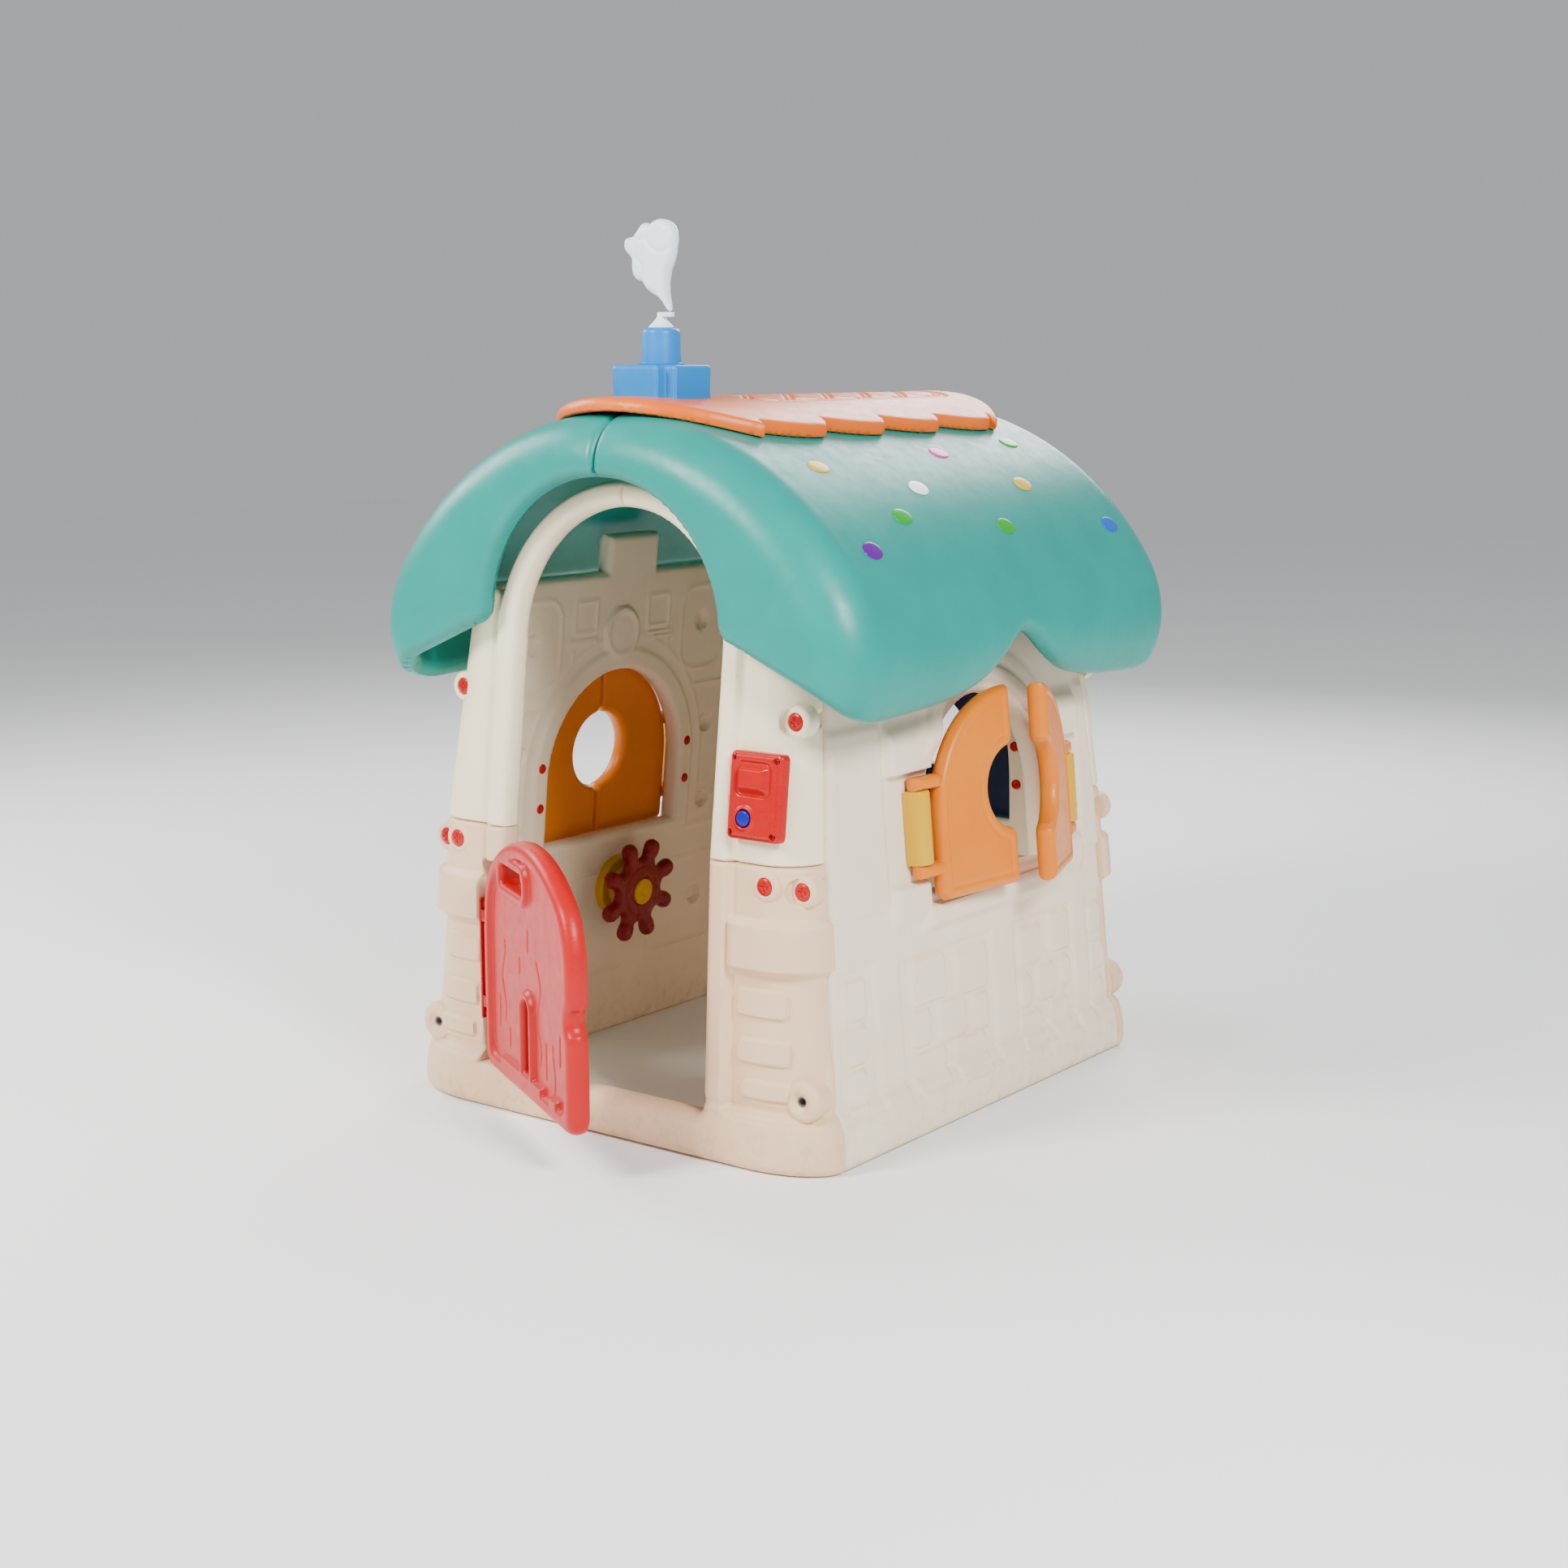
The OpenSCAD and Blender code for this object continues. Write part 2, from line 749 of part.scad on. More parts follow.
module door_hinge_bracket() {
    color("#E03030") difference() {
        union() {
            // strip that lies in the jamb's recess
            translate([recess_x + cap_clear, door_axis_y - 10, hinge_lo - 20])
                cube([strip_t, 30, hinge_hi - hinge_lo + 40]);
            for (z = [hinge_lo, hinge_hi - lug_h]) {
                translate([hinge_x, door_axis_y, z]) cylinder(h = lug_h, r = knuckle_r);
                translate([hinge_x - knuckle_r - 3, door_axis_y - 9, z]) cube([knuckle_r + 3, 18, lug_h]);
            }
        }
        translate([hinge_x, door_axis_y, 0]) cylinder(h = 600, r = door_pin_r + pin_clear);
    }
}
module door_hinge_pin() {
    color("#B4B4B4") translate([hinge_x, door_axis_y, hinge_lo])
        cylinder(h = hinge_hi - hinge_lo, r = door_pin_r);
}
module door_hinge_screws() {
    color("#E63232") for (z = [hinge_lo - 10, hinge_hi + 10])
        translate([recess_x + strip_t + 2 * cap_clear, door_axis_y + 3, z])
            rotate([0, 90, 0]) cylinder(h = 5, r = 8);
}

// ---------- roof ----------

module crown_outline(r, half, low) {
    intersection() {
        translate([0, crown_z]) circle(r = r, $fn = 160);
        translate([-half, low]) square([2 * half, 900]);
    }
}
// Side view of the hem: lobes front and back with a notch in the middle
hem_steps = 20;
function hem_point(y) = [y, lobe_z + notch_h / (1 + pow(y / notch_w, 2))];
module hem_outline() {
    difference() {
        polygon([for (i = [-hem_steps : hem_steps]) hem_point(i * roof_half_l / hem_steps),
            [roof_half_l, 1400], [-roof_half_l, 1400]]);
        for (s = [-1, 1]) translate([s * (roof_half_l + 10), lobe_z - 10]) circle(r = 90, $fn = 64);
    }
}
module end_gap() {
    union() {
        translate([0, end_arch_top - end_arch_r]) circle(r = end_arch_r, $fn = 96);
        polygon([[-end_arch_r, end_arch_top - end_arch_r], [-end_arch_r, 855], [-roof_half_w, 730],
            [-roof_half_w, 600], [roof_half_w, 600], [roof_half_w, 730], [end_arch_r, 855],
            [end_arch_r, end_arch_top - end_arch_r]]);
    }
}
module roof_half(side) {
    difference() {
        intersection() {
            along_y(-roof_half_l, roof_half_l) crown_outline(crown_r, roof_half_w, lobe_z - 1);
            along_x(-700, 700) hem_outline();
            translate([side > 0 ? seam_clear : -700 - seam_clear, -700, 0]) cube([700, 1400, 1400]);
        }
        along_y(-roof_half_l + end_t, roof_half_l - end_t) crown_outline(under_r, roof_half_w - 58, 600);
        along_y(-700, 700) end_gap();
    }
}
module roof_right() {
    color("#00C8BE") roof_half(1);
}
module roof_left() {
    color("#00C8BE") roof_half(-1);
}

// Plan of the cap: a straight strip with scalloped sides
scallop_pitch = 172;
module cap_plan() {
    difference() {
        square([2 * cap_half_w, 2 * cap_half_l], center = true);
        for (s = [-1, 1], i = [0 : scallops]) translate([s * (cap_half_w + scallop_pitch * 0.32),
            (i - scallops / 2) * scallop_pitch]) circle(r = scallop_pitch * 0.32 + scallop_d, $fn = 48);
    }
}
module ridge_cap() {
    color("#F09060") difference() {
        intersection() {
            translate([0, cap_half_l, 0]) along_y(-2 * cap_half_l, 0) difference() {
                translate([0, cap_z]) circle(r = cap_r, $fn = 128);
                translate([0, crown_z]) circle(r = crown_r + cap_clear, $fn = 160);
            }
            translate([0, 0, 1000]) linear_extrude(400) cap_plan();
        }
    }
}

module chimney() {
    notch = 22;
    color("#00AAF0") translate([0, -chimney_y, 0]) difference() {
        union() {
            translate([-chimney_w / 2, -chimney_w / 2 + notch, cap_top - 12])
                cube([chimney_w, chimney_w - 2 * notch, chimney_h + 12]);
            translate([-chimney_w / 2 + notch, -chimney_w / 2, cap_top - 12])
                cube([chimney_w - 2 * notch, chimney_w, chimney_h + 12]);
            translate([0, 0, cap_top + chimney_h]) cylinder(h = pot_h - 8, r = pot_r);
            translate([0, 0, cap_top + chimney_h + pot_h - 8]) cylinder(h = 8, r1 = pot_r, r2 = pot_r - 8);
        }
        translate([0, chimney_y, 0]) along_y(-700, 700) translate([0, cap_z])
            circle(r = cap_r + cap_clear, $fn = 128);
        translate([0, 0, cap_top + chimney_h + pot_h - 20]) cylinder(h = 40, r = 10.3);
    }
}
socket_z = cap_top + chimney_h + pot_h;
smoke_foot = 26;
module smoke_socket() {
    color("#E6ECF0") translate([0, -chimney_y, socket_z]) {
        translate([0, 0, -19]) cylinder(h = 20, r = 10);
        translate([0, 0, 0.3]) cylinder(h = 16, r1 = 21, r2 = 8);
        translate([0, 0, 16]) cylinder(h = 10, r = 6);
        translate([0, -smoke_t / 4, 18]) cube([smoke_foot, smoke_t / 2, 8]);
    }
}
// Outline of the smoke plate: a leaning puff with a scalloped left edge on a
// pointed stem, drawn at the height smoke_drawn
smoke_drawn = 152;
smoke_edge = [[18, 0], [25, 0], [14, 36], [18, 64], [30, 88], [36, 118], [30, 142], [14, 151],
    [-8, 152], [-20, 142], [-32, 148], [-44, 134], [-54, 124], [-70, 124], [-74, 110], [-70, 100],
    [-56, 88], [-56, 64], [-46, 52], [-34, 50], [-26, 38], [-14, 30], [3, 22]];
module smoke_outline() scale(smoke_h / smoke_drawn) polygon(smoke_edge);
module smoke_plume() {
    color("#E1EBF2") translate([0, -chimney_y, socket_z + 26.3])
        along_y(-smoke_t / 2, smoke_t / 2) smoke_outline();
}

// ---------- steering wheel on the inside of the left wall ----------

wheel_shift = 30;
// Frame on the inner face of the left wall: Z points into the house
module on_wheel() {
    on_left() translate([-wall_t, wheel_shift, wheel_z]) rotate([0, -90, 0]) children();
}
module steering_wheel() {
    hub = 34;
    knob = 15;
    color("#B4141E") on_wheel() translate([0, 0, wheel_stand - wheel_t / 2]) difference() {
        union() {
            cylinder(h = wheel_t, r = wheel_r - 40);
            for (i = [0 : knobs - 1]) rotate(i * 360 / knobs + 22.5) translate([wheel_r - knob, 0, 0]) {
                cylinder(h = wheel_t, r = knob);
                translate([-40, -knob * 0.8, 0]) cube([40, knob * 1.6, wheel_t]);
            }
        }
        translate([0, 0, -1]) cylinder(h = wheel_t + 2, r = axle_r + pin_clear);
        translate([0, 0, wheel_t - 6]) cylinder(h = 20, r = hub - 8);
    }
}
module wheel_hub_cap() {
    color("#F0B400") on_wheel() translate([0, 0, wheel_stand + wheel_t / 2 - 5.7])
        cylinder(h = 9, r = 25.7);
}
module wheel_base() {
    color("#F0B400") on_wheel() difference() {
        union() {
            translate([0, 0, cap_clear]) cylinder(h = 18, r = wheel_base_r);
            translate([0, 0, 18]) cylinder(h = wheel_stand - wheel_t / 2 - 18.5, r1 = 40, r2 = 24);
        }
        cylinder(h = 100, r = axle_r + pin_clear);
    }
}
module wheel_axle() {
    color("#B4B4B4") on_wheel() translate([0, 0, -17])
        cylinder(h = wheel_stand + wheel_t / 2 - 5.7 + 17 - cap_clear, r = axle_r);
}

// ---------- doorbell ----------

// Frame of the doorbell on the upper right of the front: Z points out of the wall
module on_bell() {
    on_front_up() translate([bell_x, -cap_clear, bell_z - seam_z]) rotate([90, 0, 0]) children();
}
button_at = [-14, -36];
bell_hole = [bell_w / 2 - 11, bell_h / 2 - 11];
module bell_case() {
    color("#E62D2D") on_bell() difference() {
        union() {
            translate([-bell_w / 2, -bell_h / 2, 0]) cube([bell_w, bell_h, bell_d - 6]);
            translate([-bell_w / 2 + 5, -bell_h / 2 + 5, bell_d - 6.1]) cube([bell_w - 10, bell_h - 10, 6.1]);
            translate([button_at[0], button_at[1], 0]) cylinder(h = bell_d + 2, r = button_r + 5);
            translate([-30, 6, 0]) cube([58, 44, bell_d + 8]);
        }
        translate([button_at[0], button_at[1], 4]) cylinder(h = 60, r = button_r + 0.4);
        for (sx = [-1, 1], sy = [-1, 1]) translate([sx * bell_hole[0], sy * bell_hole[1], bell_d - 8])
            cylinder(h = 20, r = 4.3);
    }
}
spring_h = 9;
module bell_spring() {
    color("#B4B4B4") on_bell() translate([button_at[0], button_at[1], 4.2]) difference() {
        cylinder(h = spring_h - 0.4, r = button_r - 4);
        translate([0, 0, -1]) cylinder(h = spring_h + 2, r = button_r - 6);
    }
}
module bell_button() {
    color("#1E3CDC") on_bell() translate([button_at[0], button_at[1], 4 + spring_h]) difference() {
        cylinder(h = bell_d + 2 - spring_h - 4 + 3, r = button_r);
        // hollow foot that goes down over the spring
        translate([0, 0, -1]) cylinder(h = button_travel + 2, r = button_r - 3);
    }
}
module bell_screws() {
    color("#8C1414") on_bell() for (sx = [-1, 1], sy = [-1, 1])
        translate([sx * bell_hole[0], sy * bell_hole[1], bell_d - 7.7]) cylinder(h = 5, r = 4);
}

// ---------- panel screws ----------

module screw_at(p) {
    boss_at(p, 3.4, screw_r, screw_depth - 3.4);
}
module corner_screws() {
    for (p = post_screws) screw_at(p);
    screw_at(arch_screw);
}
module panel_screws() {
    color("#F03232") for (turn = [0, 180]) rotate(turn) {
        corner_screws();
        mirror([1, 0, 0]) corner_screws();
    }
}

// ---------- roof dots ----------

// A dot: an oval disc let in flush with the crown, at a place along the ridge
// and an angle down from the ridge; the other roof half has the same dots turned
dot_t = 2.4;
module dot(y, angle) {
    for (turn = [0, 180]) rotate(turn) translate([0, y, crown_z]) rotate([0, angle, 0])
        translate([0, 0, crown_r + 0.1]) intersection() {
            cylinder(h = dot_t, r = dot_a);
            translate([-dot_b, -dot_a, 0]) cube([2 * dot_b, 2 * dot_a, dot_t]);
        }
}
module roof_dots_yellow() {
    color("#FFE628") {
        dot(-321, 32);
        dot(212, 40);
    }
}
module roof_dots_pink() color("#F08CC8") dot(63, 30);
module roof_dots_white() color("#F5F5F5") dot(-113, 39);
module roof_dots_green() {
    color("#46D25A") {
        dot(-228, 45);
        dot(51, 49);
        dot(326, 28);
    }
}
module roof_dots_purple() color("#8C46BE") dot(-372, 51);
module roof_dots_blue() color("#3C96E6") dot(393, 51);

front_lower_panel();
front_arch_left();
front_arch_right();
right_wall();
left_wall();
back_lower_panel();
back_upper_panel();
roof_left();
roof_right();
ridge_cap();
chimney();
smoke_socket();
smoke_plume();
door();
door_hinge_bracket();
door_hinge_pin();
door_hinge_screws();
right_front_shutter();
right_rear_shutter();
left_front_shutter();
left_rear_shutter();
back_left_shutter();
back_right_shutter();
shutter_hinge_clips();
shutter_hinge_pins();
shutter_hinge_screws();
panel_screws();
steering_wheel();
wheel_hub_cap();
wheel_base();
wheel_axle();
bell_case();
bell_button();
bell_spring();
bell_screws();
roof_dots_yellow();
roof_dots_pink();
roof_dots_white();
roof_dots_green();
roof_dots_purple();
roof_dots_blue();
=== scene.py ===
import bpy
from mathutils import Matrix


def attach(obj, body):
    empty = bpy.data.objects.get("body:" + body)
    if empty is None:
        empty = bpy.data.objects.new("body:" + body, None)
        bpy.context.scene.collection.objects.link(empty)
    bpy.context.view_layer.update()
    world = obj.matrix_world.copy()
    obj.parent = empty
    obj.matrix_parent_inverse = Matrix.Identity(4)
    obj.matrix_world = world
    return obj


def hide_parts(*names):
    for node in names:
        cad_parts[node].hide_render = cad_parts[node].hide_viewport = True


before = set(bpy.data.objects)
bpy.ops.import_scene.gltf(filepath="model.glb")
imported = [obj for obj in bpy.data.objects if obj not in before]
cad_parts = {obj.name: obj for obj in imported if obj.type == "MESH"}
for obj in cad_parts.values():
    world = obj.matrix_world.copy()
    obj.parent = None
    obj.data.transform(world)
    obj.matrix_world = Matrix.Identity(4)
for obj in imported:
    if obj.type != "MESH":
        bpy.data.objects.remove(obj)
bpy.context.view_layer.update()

import math

import bpy
import numpy as np
from mathutils import Matrix, Vector

# ---------------------------------------------------------------- lower front wall
# One blow-moulded HDPE shell that carries the threshold, both jambs and both corner
# posts. The skins are about 3 mm thick and meet in fully rounded edges, so every rim,
# belt block and boss is soft, and a rolled trim runs round the doorway.

HALF_W, HALF_D, SEAM_Z = 451.0, 530.0, 502.0
SIDE_LEAN, LOW_LEAN, UP_LEAN = 0.095, 0.044, 0.108
SEAM_HALF_D = HALF_D - LOW_LEAN * SEAM_Z
WALL_T, CORNER_R, CORNER_LOW = 36.0, 75.0, 140.0
DOOR_HALF, THRESHOLD_Z, ARCH_Z = 222.0, 78.0, 836.0
TRIM_W, TRIM_OUT = 45.0, 9.0
FOOT_OUT = 14.0
SEAM_GAP = 0.9
MM = 0.001


def half_w(z):
    """Half width of the walls at height z: the floor's half width less the lean."""
    return HALF_W - SIDE_LEAN * z


def half_d(z):
    """Half depth of the walls at height z, with a steeper lean above the seam."""
    low = HALF_D - LOW_LEAN * z
    return np.where(z < SEAM_Z, low, SEAM_HALF_D - UP_LEAN * (z - SEAM_Z))


def ease(t):
    """Smooth step from 0 to 1 as t goes from 0 to 1: 3t² - 2t³."""
    t = np.clip(t, 0.0, 1.0)
    return t * t * (3 - 2 * t)


def ridge(d, width):
    """Rounded raised line: a bell curve e^-(d/width)² across its middle line."""
    return np.exp(-((d / width) ** 2))


def rect_in(u, v, cu, cv, hu, hv, r):
    """Distance inside a rounded rectangle of half sides hu and hv and corner r."""
    a, b = np.abs(u - cu) - hu + r, np.abs(v - cv) - hv + r
    return r - np.hypot(np.maximum(a, 0), np.maximum(b, 0)) - np.minimum(np.maximum(a, b), 0)


def least(edges, u, v):
    """Least distance inside any edge, which is zero on the outline."""
    return np.minimum.reduce([np.broadcast_to(e[0], u.shape) for e in edges(u, v)])


def sink(rows, shape, side):
    """How far a rounded edge falls below its skin: r - sqrt(r² - (r - d)²) for d < r."""
    drop = np.zeros(shape)
    for row in rows:
        d, r = np.broadcast_to(row[0], shape), np.broadcast_to(row[side], shape)
        t = np.clip(r - d, 0, r)
        drop = np.maximum(drop, r - np.sqrt(np.maximum(r * r - t * t, 0)))
    return drop


def write_mesh(name, points, faces, smooth_deg=48):
    """Mesh object of points in millimetres, turned outwards by its signed volume."""
    tri = np.concatenate([faces[:, [0, 1, 2]], faces[:, [0, 2, 3]]])
    a, b, c = points[tri[:, 0]], points[tri[:, 1]], points[tri[:, 2]]
    if np.sum(a * np.cross(b, c)) < 0:
        faces = faces[:, ::-1]
    mesh = bpy.data.meshes.new(name)
    rows = [f[:3] if f[2] == f[3] else f for f in faces.tolist()]
    mesh.from_pydata((points * MM).tolist(), [], rows)
    mesh.shade_smooth()
    mesh.set_sharp_from_angle(angle=math.radians(smooth_deg))
    obj = bpy.data.objects.new(name, mesh)
    bpy.context.collection.objects.link(obj)
    return obj


def moulding(name, us, vs, edges, top, bottom, place, smooth_deg=48):
    """Closed double skin over the grid (us, vs). edges(u, v) lists (distance inside an
    edge, front rounding, back rounding); cells inside every edge are kept, their border
    points slide along the distance's slope onto the outline, and place(u, v, w) sets
    both skins at top and bottom less the rounding, with a band between them."""
    u, v = np.meshgrid(us, vs, indexing="ij")
    middle = [(k[:-1, :-1] + k[1:, 1:]) / 2 for k in (u, v)]
    keep = least(edges, *middle) > 0
    ids = np.arange(u.size).reshape(u.shape)
    quads = np.stack([ids[:-1, :-1][keep], ids[1:, :-1][keep], ids[1:, 1:][keep], ids[:-1, 1:][keep]], 1)
    used, quads = np.unique(quads, return_inverse=True)
    quads = quads.reshape(-1, 4)
    u, v = u.ravel()[used], v.ravel()[used]
    sides = np.concatenate([quads[:, [i, (i + 1) % 4]] for i in range(4)])
    key = np.sort(sides, 1) @ np.array([len(used), 1])
    _, first, count = np.unique(key, return_index=True, return_counts=True)
    rim_sides = sides[first[count == 1]]
    rim = np.unique(rim_sides)
    for _ in range(5):
        d0 = least(edges, u[rim], v[rim])
        gu = (least(edges, u[rim] + 0.2, v[rim]) - d0) / 0.2
        gv = (least(edges, u[rim], v[rim] + 0.2) - d0) / 0.2
        step = np.clip(d0 / np.maximum(gu * gu + gv * gv, 0.05), -8, 8)
        u[rim] -= step * gu
        v[rim] -= step * gv
    rows = edges(u, v)
    inside = np.maximum(least(edges, u, v), 0)
    front = top(u, v, inside) - sink(rows, u.shape, 1)
    back = bottom(u, v, inside) + sink(rows, u.shape, 2)
    mean = (front + back) / 2
    front, back = np.maximum(front, mean), np.minimum(back, mean)
    points = np.concatenate([np.stack(place(u, v, front), 1), np.stack(place(u, v, back), 1)])
    n = len(u)
    p, q = rim_sides[:, 0], rim_sides[:, 1]
    faces = np.concatenate([quads, quads[:, ::-1] + n, np.stack([q, p, p + n, q + n], 1)])
    obj = write_mesh(name, points, faces, smooth_deg)
    return obj


def rgb(code):
    """sRGB hex to linear: c / 12.92 below 0.04045, else ((c + 0.055) / 1.055)^2.4."""
    c = np.array([int(code[i : i + 2], 16) for i in (1, 3, 5)]) / 255
    lin = np.where(c <= 0.04045, c / 12.92, ((c + 0.055) / 1.055) ** 2.4)
    return (*lin.tolist(), 1.0)


def add(tree, kind, links=(), **settings):
    """Adds a node, sets its properties or inputs by name and links its inputs."""
    node = tree.nodes.new(kind)
    for key, value in settings.items():
        if hasattr(node, key):
            setattr(node, key, value)
        else:
            node.inputs[key.replace("_", " ")].default_value = value
    for slot, source in links:
        tree.links.new(source, node.inputs[slot])
    return node


def moulded(name, tone, pale, rough, ripple=0.12, foot_shade=0.0):
    """Moulded polyolefin: a waxy sheen with slow waviness from the cooling mould, a fine
    matt grain of about 1 mm, faint mottling in its colour and painted shade in warm patches low down."""
    mat = bpy.data.materials.new(name)
    mat.use_nodes = True
    t = mat.node_tree
    shader = t.nodes["Principled BSDF"]
    at = add(t, "ShaderNodeTexCoord").outputs["Object"]
    slow = add(t, "ShaderNodeTexNoise", [("Vector", at)], Scale=9.0, Detail=3.0, Roughness=0.55)
    grain = add(t, "ShaderNodeTexNoise", [("Vector", at)], Scale=700.0, Detail=2.0, Roughness=0.5)
    patch = add(t, "ShaderNodeTexNoise", [("Vector", at)], Scale=46.0, Detail=5.0, Roughness=0.65)
    mottle = add(t, "ShaderNodeMapRange", [("Value", slow.outputs["Fac"])], From_Min=0.35, From_Max=0.7)
    colour = add(t, "ShaderNodeMix", [("Factor", mottle.outputs["Result"])], data_type="RGBA")
    colour.inputs["A"].default_value, colour.inputs["B"].default_value = rgb(tone), rgb(pale)
    # Painted shade at the foot: below 110 mm the colour is pulled towards warm brown #8A7C6C in noise
    # patches.
    if foot_shade:
        spots = add(t, "ShaderNodeMapRange", [("Value", patch.outputs["Fac"])], From_Min=0.5, From_Max=0.7)
        place = add(t, "ShaderNodeSeparateXYZ", [("Vector", at)])
        low = add(t, "ShaderNodeMapRange", [("Value", place.outputs["Z"])], From_Min=0.11, From_Max=0.0)
        both = [(0, low.outputs["Result"]), (1, spots.outputs["Result"])]
        painted_foot_shade = add(t, "ShaderNodeMath", both, operation="MULTIPLY")
        some = add(t, "ShaderNodeMath", [(0, painted_foot_shade.outputs[0])], operation="MULTIPLY")
        some.inputs[1].default_value = foot_shade
        under = [("Factor", some.outputs[0]), ("A", colour.outputs["Result"])]
        colour = add(t, "ShaderNodeMix", under, data_type="RGBA")
        colour.inputs["B"].default_value = rgb("#8A7C6C")
    t.links.new(colour.outputs["Result"], shader.inputs["Base Color"])
    gloss = add(
        t, "ShaderNodeMapRange", [("Value", patch.outputs["Fac"])],
        From_Min=0.3, From_Max=0.75, To_Min=rough - 0.05, To_Max=rough + 0.09,
    )
    t.links.new(gloss.outputs["Result"], shader.inputs["Roughness"])
    shader.inputs["IOR"].default_value = 1.5
    shader.inputs["Specular IOR Level"].default_value = 0.32
    wave = add(t, "ShaderNodeBump", [("Height", slow.outputs["Fac"])], Strength=ripple, Distance=0.012)
    grained = add(
        t, "ShaderNodeBump", [("Height", grain.outputs["Fac"]), ("Normal", wave.outputs["Normal"])],
        Strength=0.10, Distance=0.0004,
    )
    t.links.new(grained.outputs["Normal"], shader.inputs["Normal"])
    return mat


def finish_piece(obj, material, body, slot, *nodes):
    """Gives a piece its finish and its body, and hides the parts it stands for; slot is not used."""
    obj.data.materials.append(material)
    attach(obj, body)
    if nodes:
        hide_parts(*nodes)
    return obj


def reach(z):
    """How far a corner's curve reaches along the front: longest at the floor."""
    return CORNER_R + (CORNER_LOW - CORNER_R) * np.maximum(0, 1 - z / SEAM_Z)


def drop(x, z):
    """Depth of the rounded corner behind the front plane at (x, z): an ellipse."""
    r = reach(z)
    t = np.clip((np.abs(x) - half_w(z) + r) / r, 0, 1)
    return CORNER_R * (1 - np.sqrt(1 - t * t))


FLAT_U, CORNER_U = 320.0, 165.0


def plan_place(u, z, w):
    """Point at distance u round the front's plan: straight for |u| < 320, then a quarter
    ellipse round the corner, pushed out by w."""
    q = np.abs(u)
    r = reach(z)
    turn = np.clip((q - FLAT_U) / CORNER_U, 0, 1.02) * math.pi / 2
    x = np.where(q < FLAT_U, q / FLAT_U * (half_w(z) - r), half_w(z) - r + (r + w) * np.sin(turn))
    y = -(half_d(z) + w) + (CORNER_R + w) * (1 - np.cos(turn))
    return np.sign(u) * x, y, z


def foot_roll(z):
    """The rolled foot: stands out along half an ellipse 96 mm high, with a groove over it."""
    return FOOT_OUT * np.sqrt(np.clip(1 - ((z - 42) / 54) ** 2, 0, 1)) - 3.5 * ridge(z - 102, 7)


POST_SCREWS = ((337.0, 470.0), (391.0, 463.0))
ANCHOR, ARCH_SCREW = (405.0, 124.0), (362.0, 732.0)
DOOR_FILLET = 16.0


def door_edge(x, z, low=THRESHOLD_Z):
    """Distance outside the doorway: a half circle over jambs and a filleted threshold."""
    a = np.hypot(x, np.maximum(z - ARCH_Z, 0)) - DOOR_HALF + DOOR_FILLET
    b = low - z + DOOR_FILLET
    return np.hypot(np.maximum(a, 0), np.maximum(b, 0)) + np.minimum(np.maximum(a, b), 0) - DOOR_FILLET


def screw_pit(x, z, spots):
    """Pit 12 mm deep in a panel behind each fat screw, hidden under its boss."""
    return sum(12 * ease((23 - np.hypot(np.abs(x) - sx, z - sz)) / 4) for sx, sz in spots)


def post_relief(x, z):
    """Belt block, its sunk panel below and three raised tiles on a corner post."""
    a = np.abs(x)
    belt = 13 * ease((z - 326) / 10) * ease((417 - z) / 12) * ease((a - 262) / 10)
    field = -6.0 * ease(rect_in(a, z, 352, 204, 84, 122, 16) / 6)
    tiles = sum(
        7.0 * ease(rect_in(a, z, cx, cz, hx, hz, 9) / 4)
        for cx, cz, hx, hz in ((331, 277, 49, 23), (337, 197, 50, 21), (343, 134, 49, 16))
    )
    return belt + field + tiles - screw_pit(x, z, POST_SCREWS)


def front_low_edges(u, z):
    x, y, _ = plan_place(u, z, 0.0)
    hole = np.hypot(np.abs(x) - ANCHOR[0], z - ANCHOR[1]) - 20
    recess = rect_in(x, z, -250, 259, 28, 181, 2)
    return [
        (door_edge(x, z), 19, 13),
        (SEAM_Z - SEAM_GAP - z, 7, 4),
        (z, 16, 10),
        ((FLAT_U + CORNER_U - np.abs(u)) * 0.72 - SEAM_GAP, 9, 5),
        (hole, 3, 1),
        (-recess, 4, 4),
    ]


def front_low_top(u, z, inside):
    x, y, _ = plan_place(u, z, 0.0)
    away = door_edge(x, z)
    trim = TRIM_OUT * ease((TRIM_W - away) / 7) * ease((z - 84) / 14) - 3.5 * ridge(away - 50, 5) * (z > 100)
    return foot_roll(z) + np.where(away > TRIM_W, trim + post_relief(x, z), trim)


# The last argument sets how strong the painted shade at the foot is.
beige = moulded("blow_moulded_hdpe_beige", "#E8C49E", "#EDCBA6", 0.42, foot_shade=0.35)
grid_u = np.linspace(-486, 486, 328)
wall = moulding(
    "front_lower_wall", grid_u, np.linspace(0, SEAM_Z, 184), front_low_edges, front_low_top,
    lambda u, z, d: np.full(u.shape, -WALL_T), plan_place,
)
finish_piece(wall, beige, "house", "beige_hdpe", "front_lower_panel")


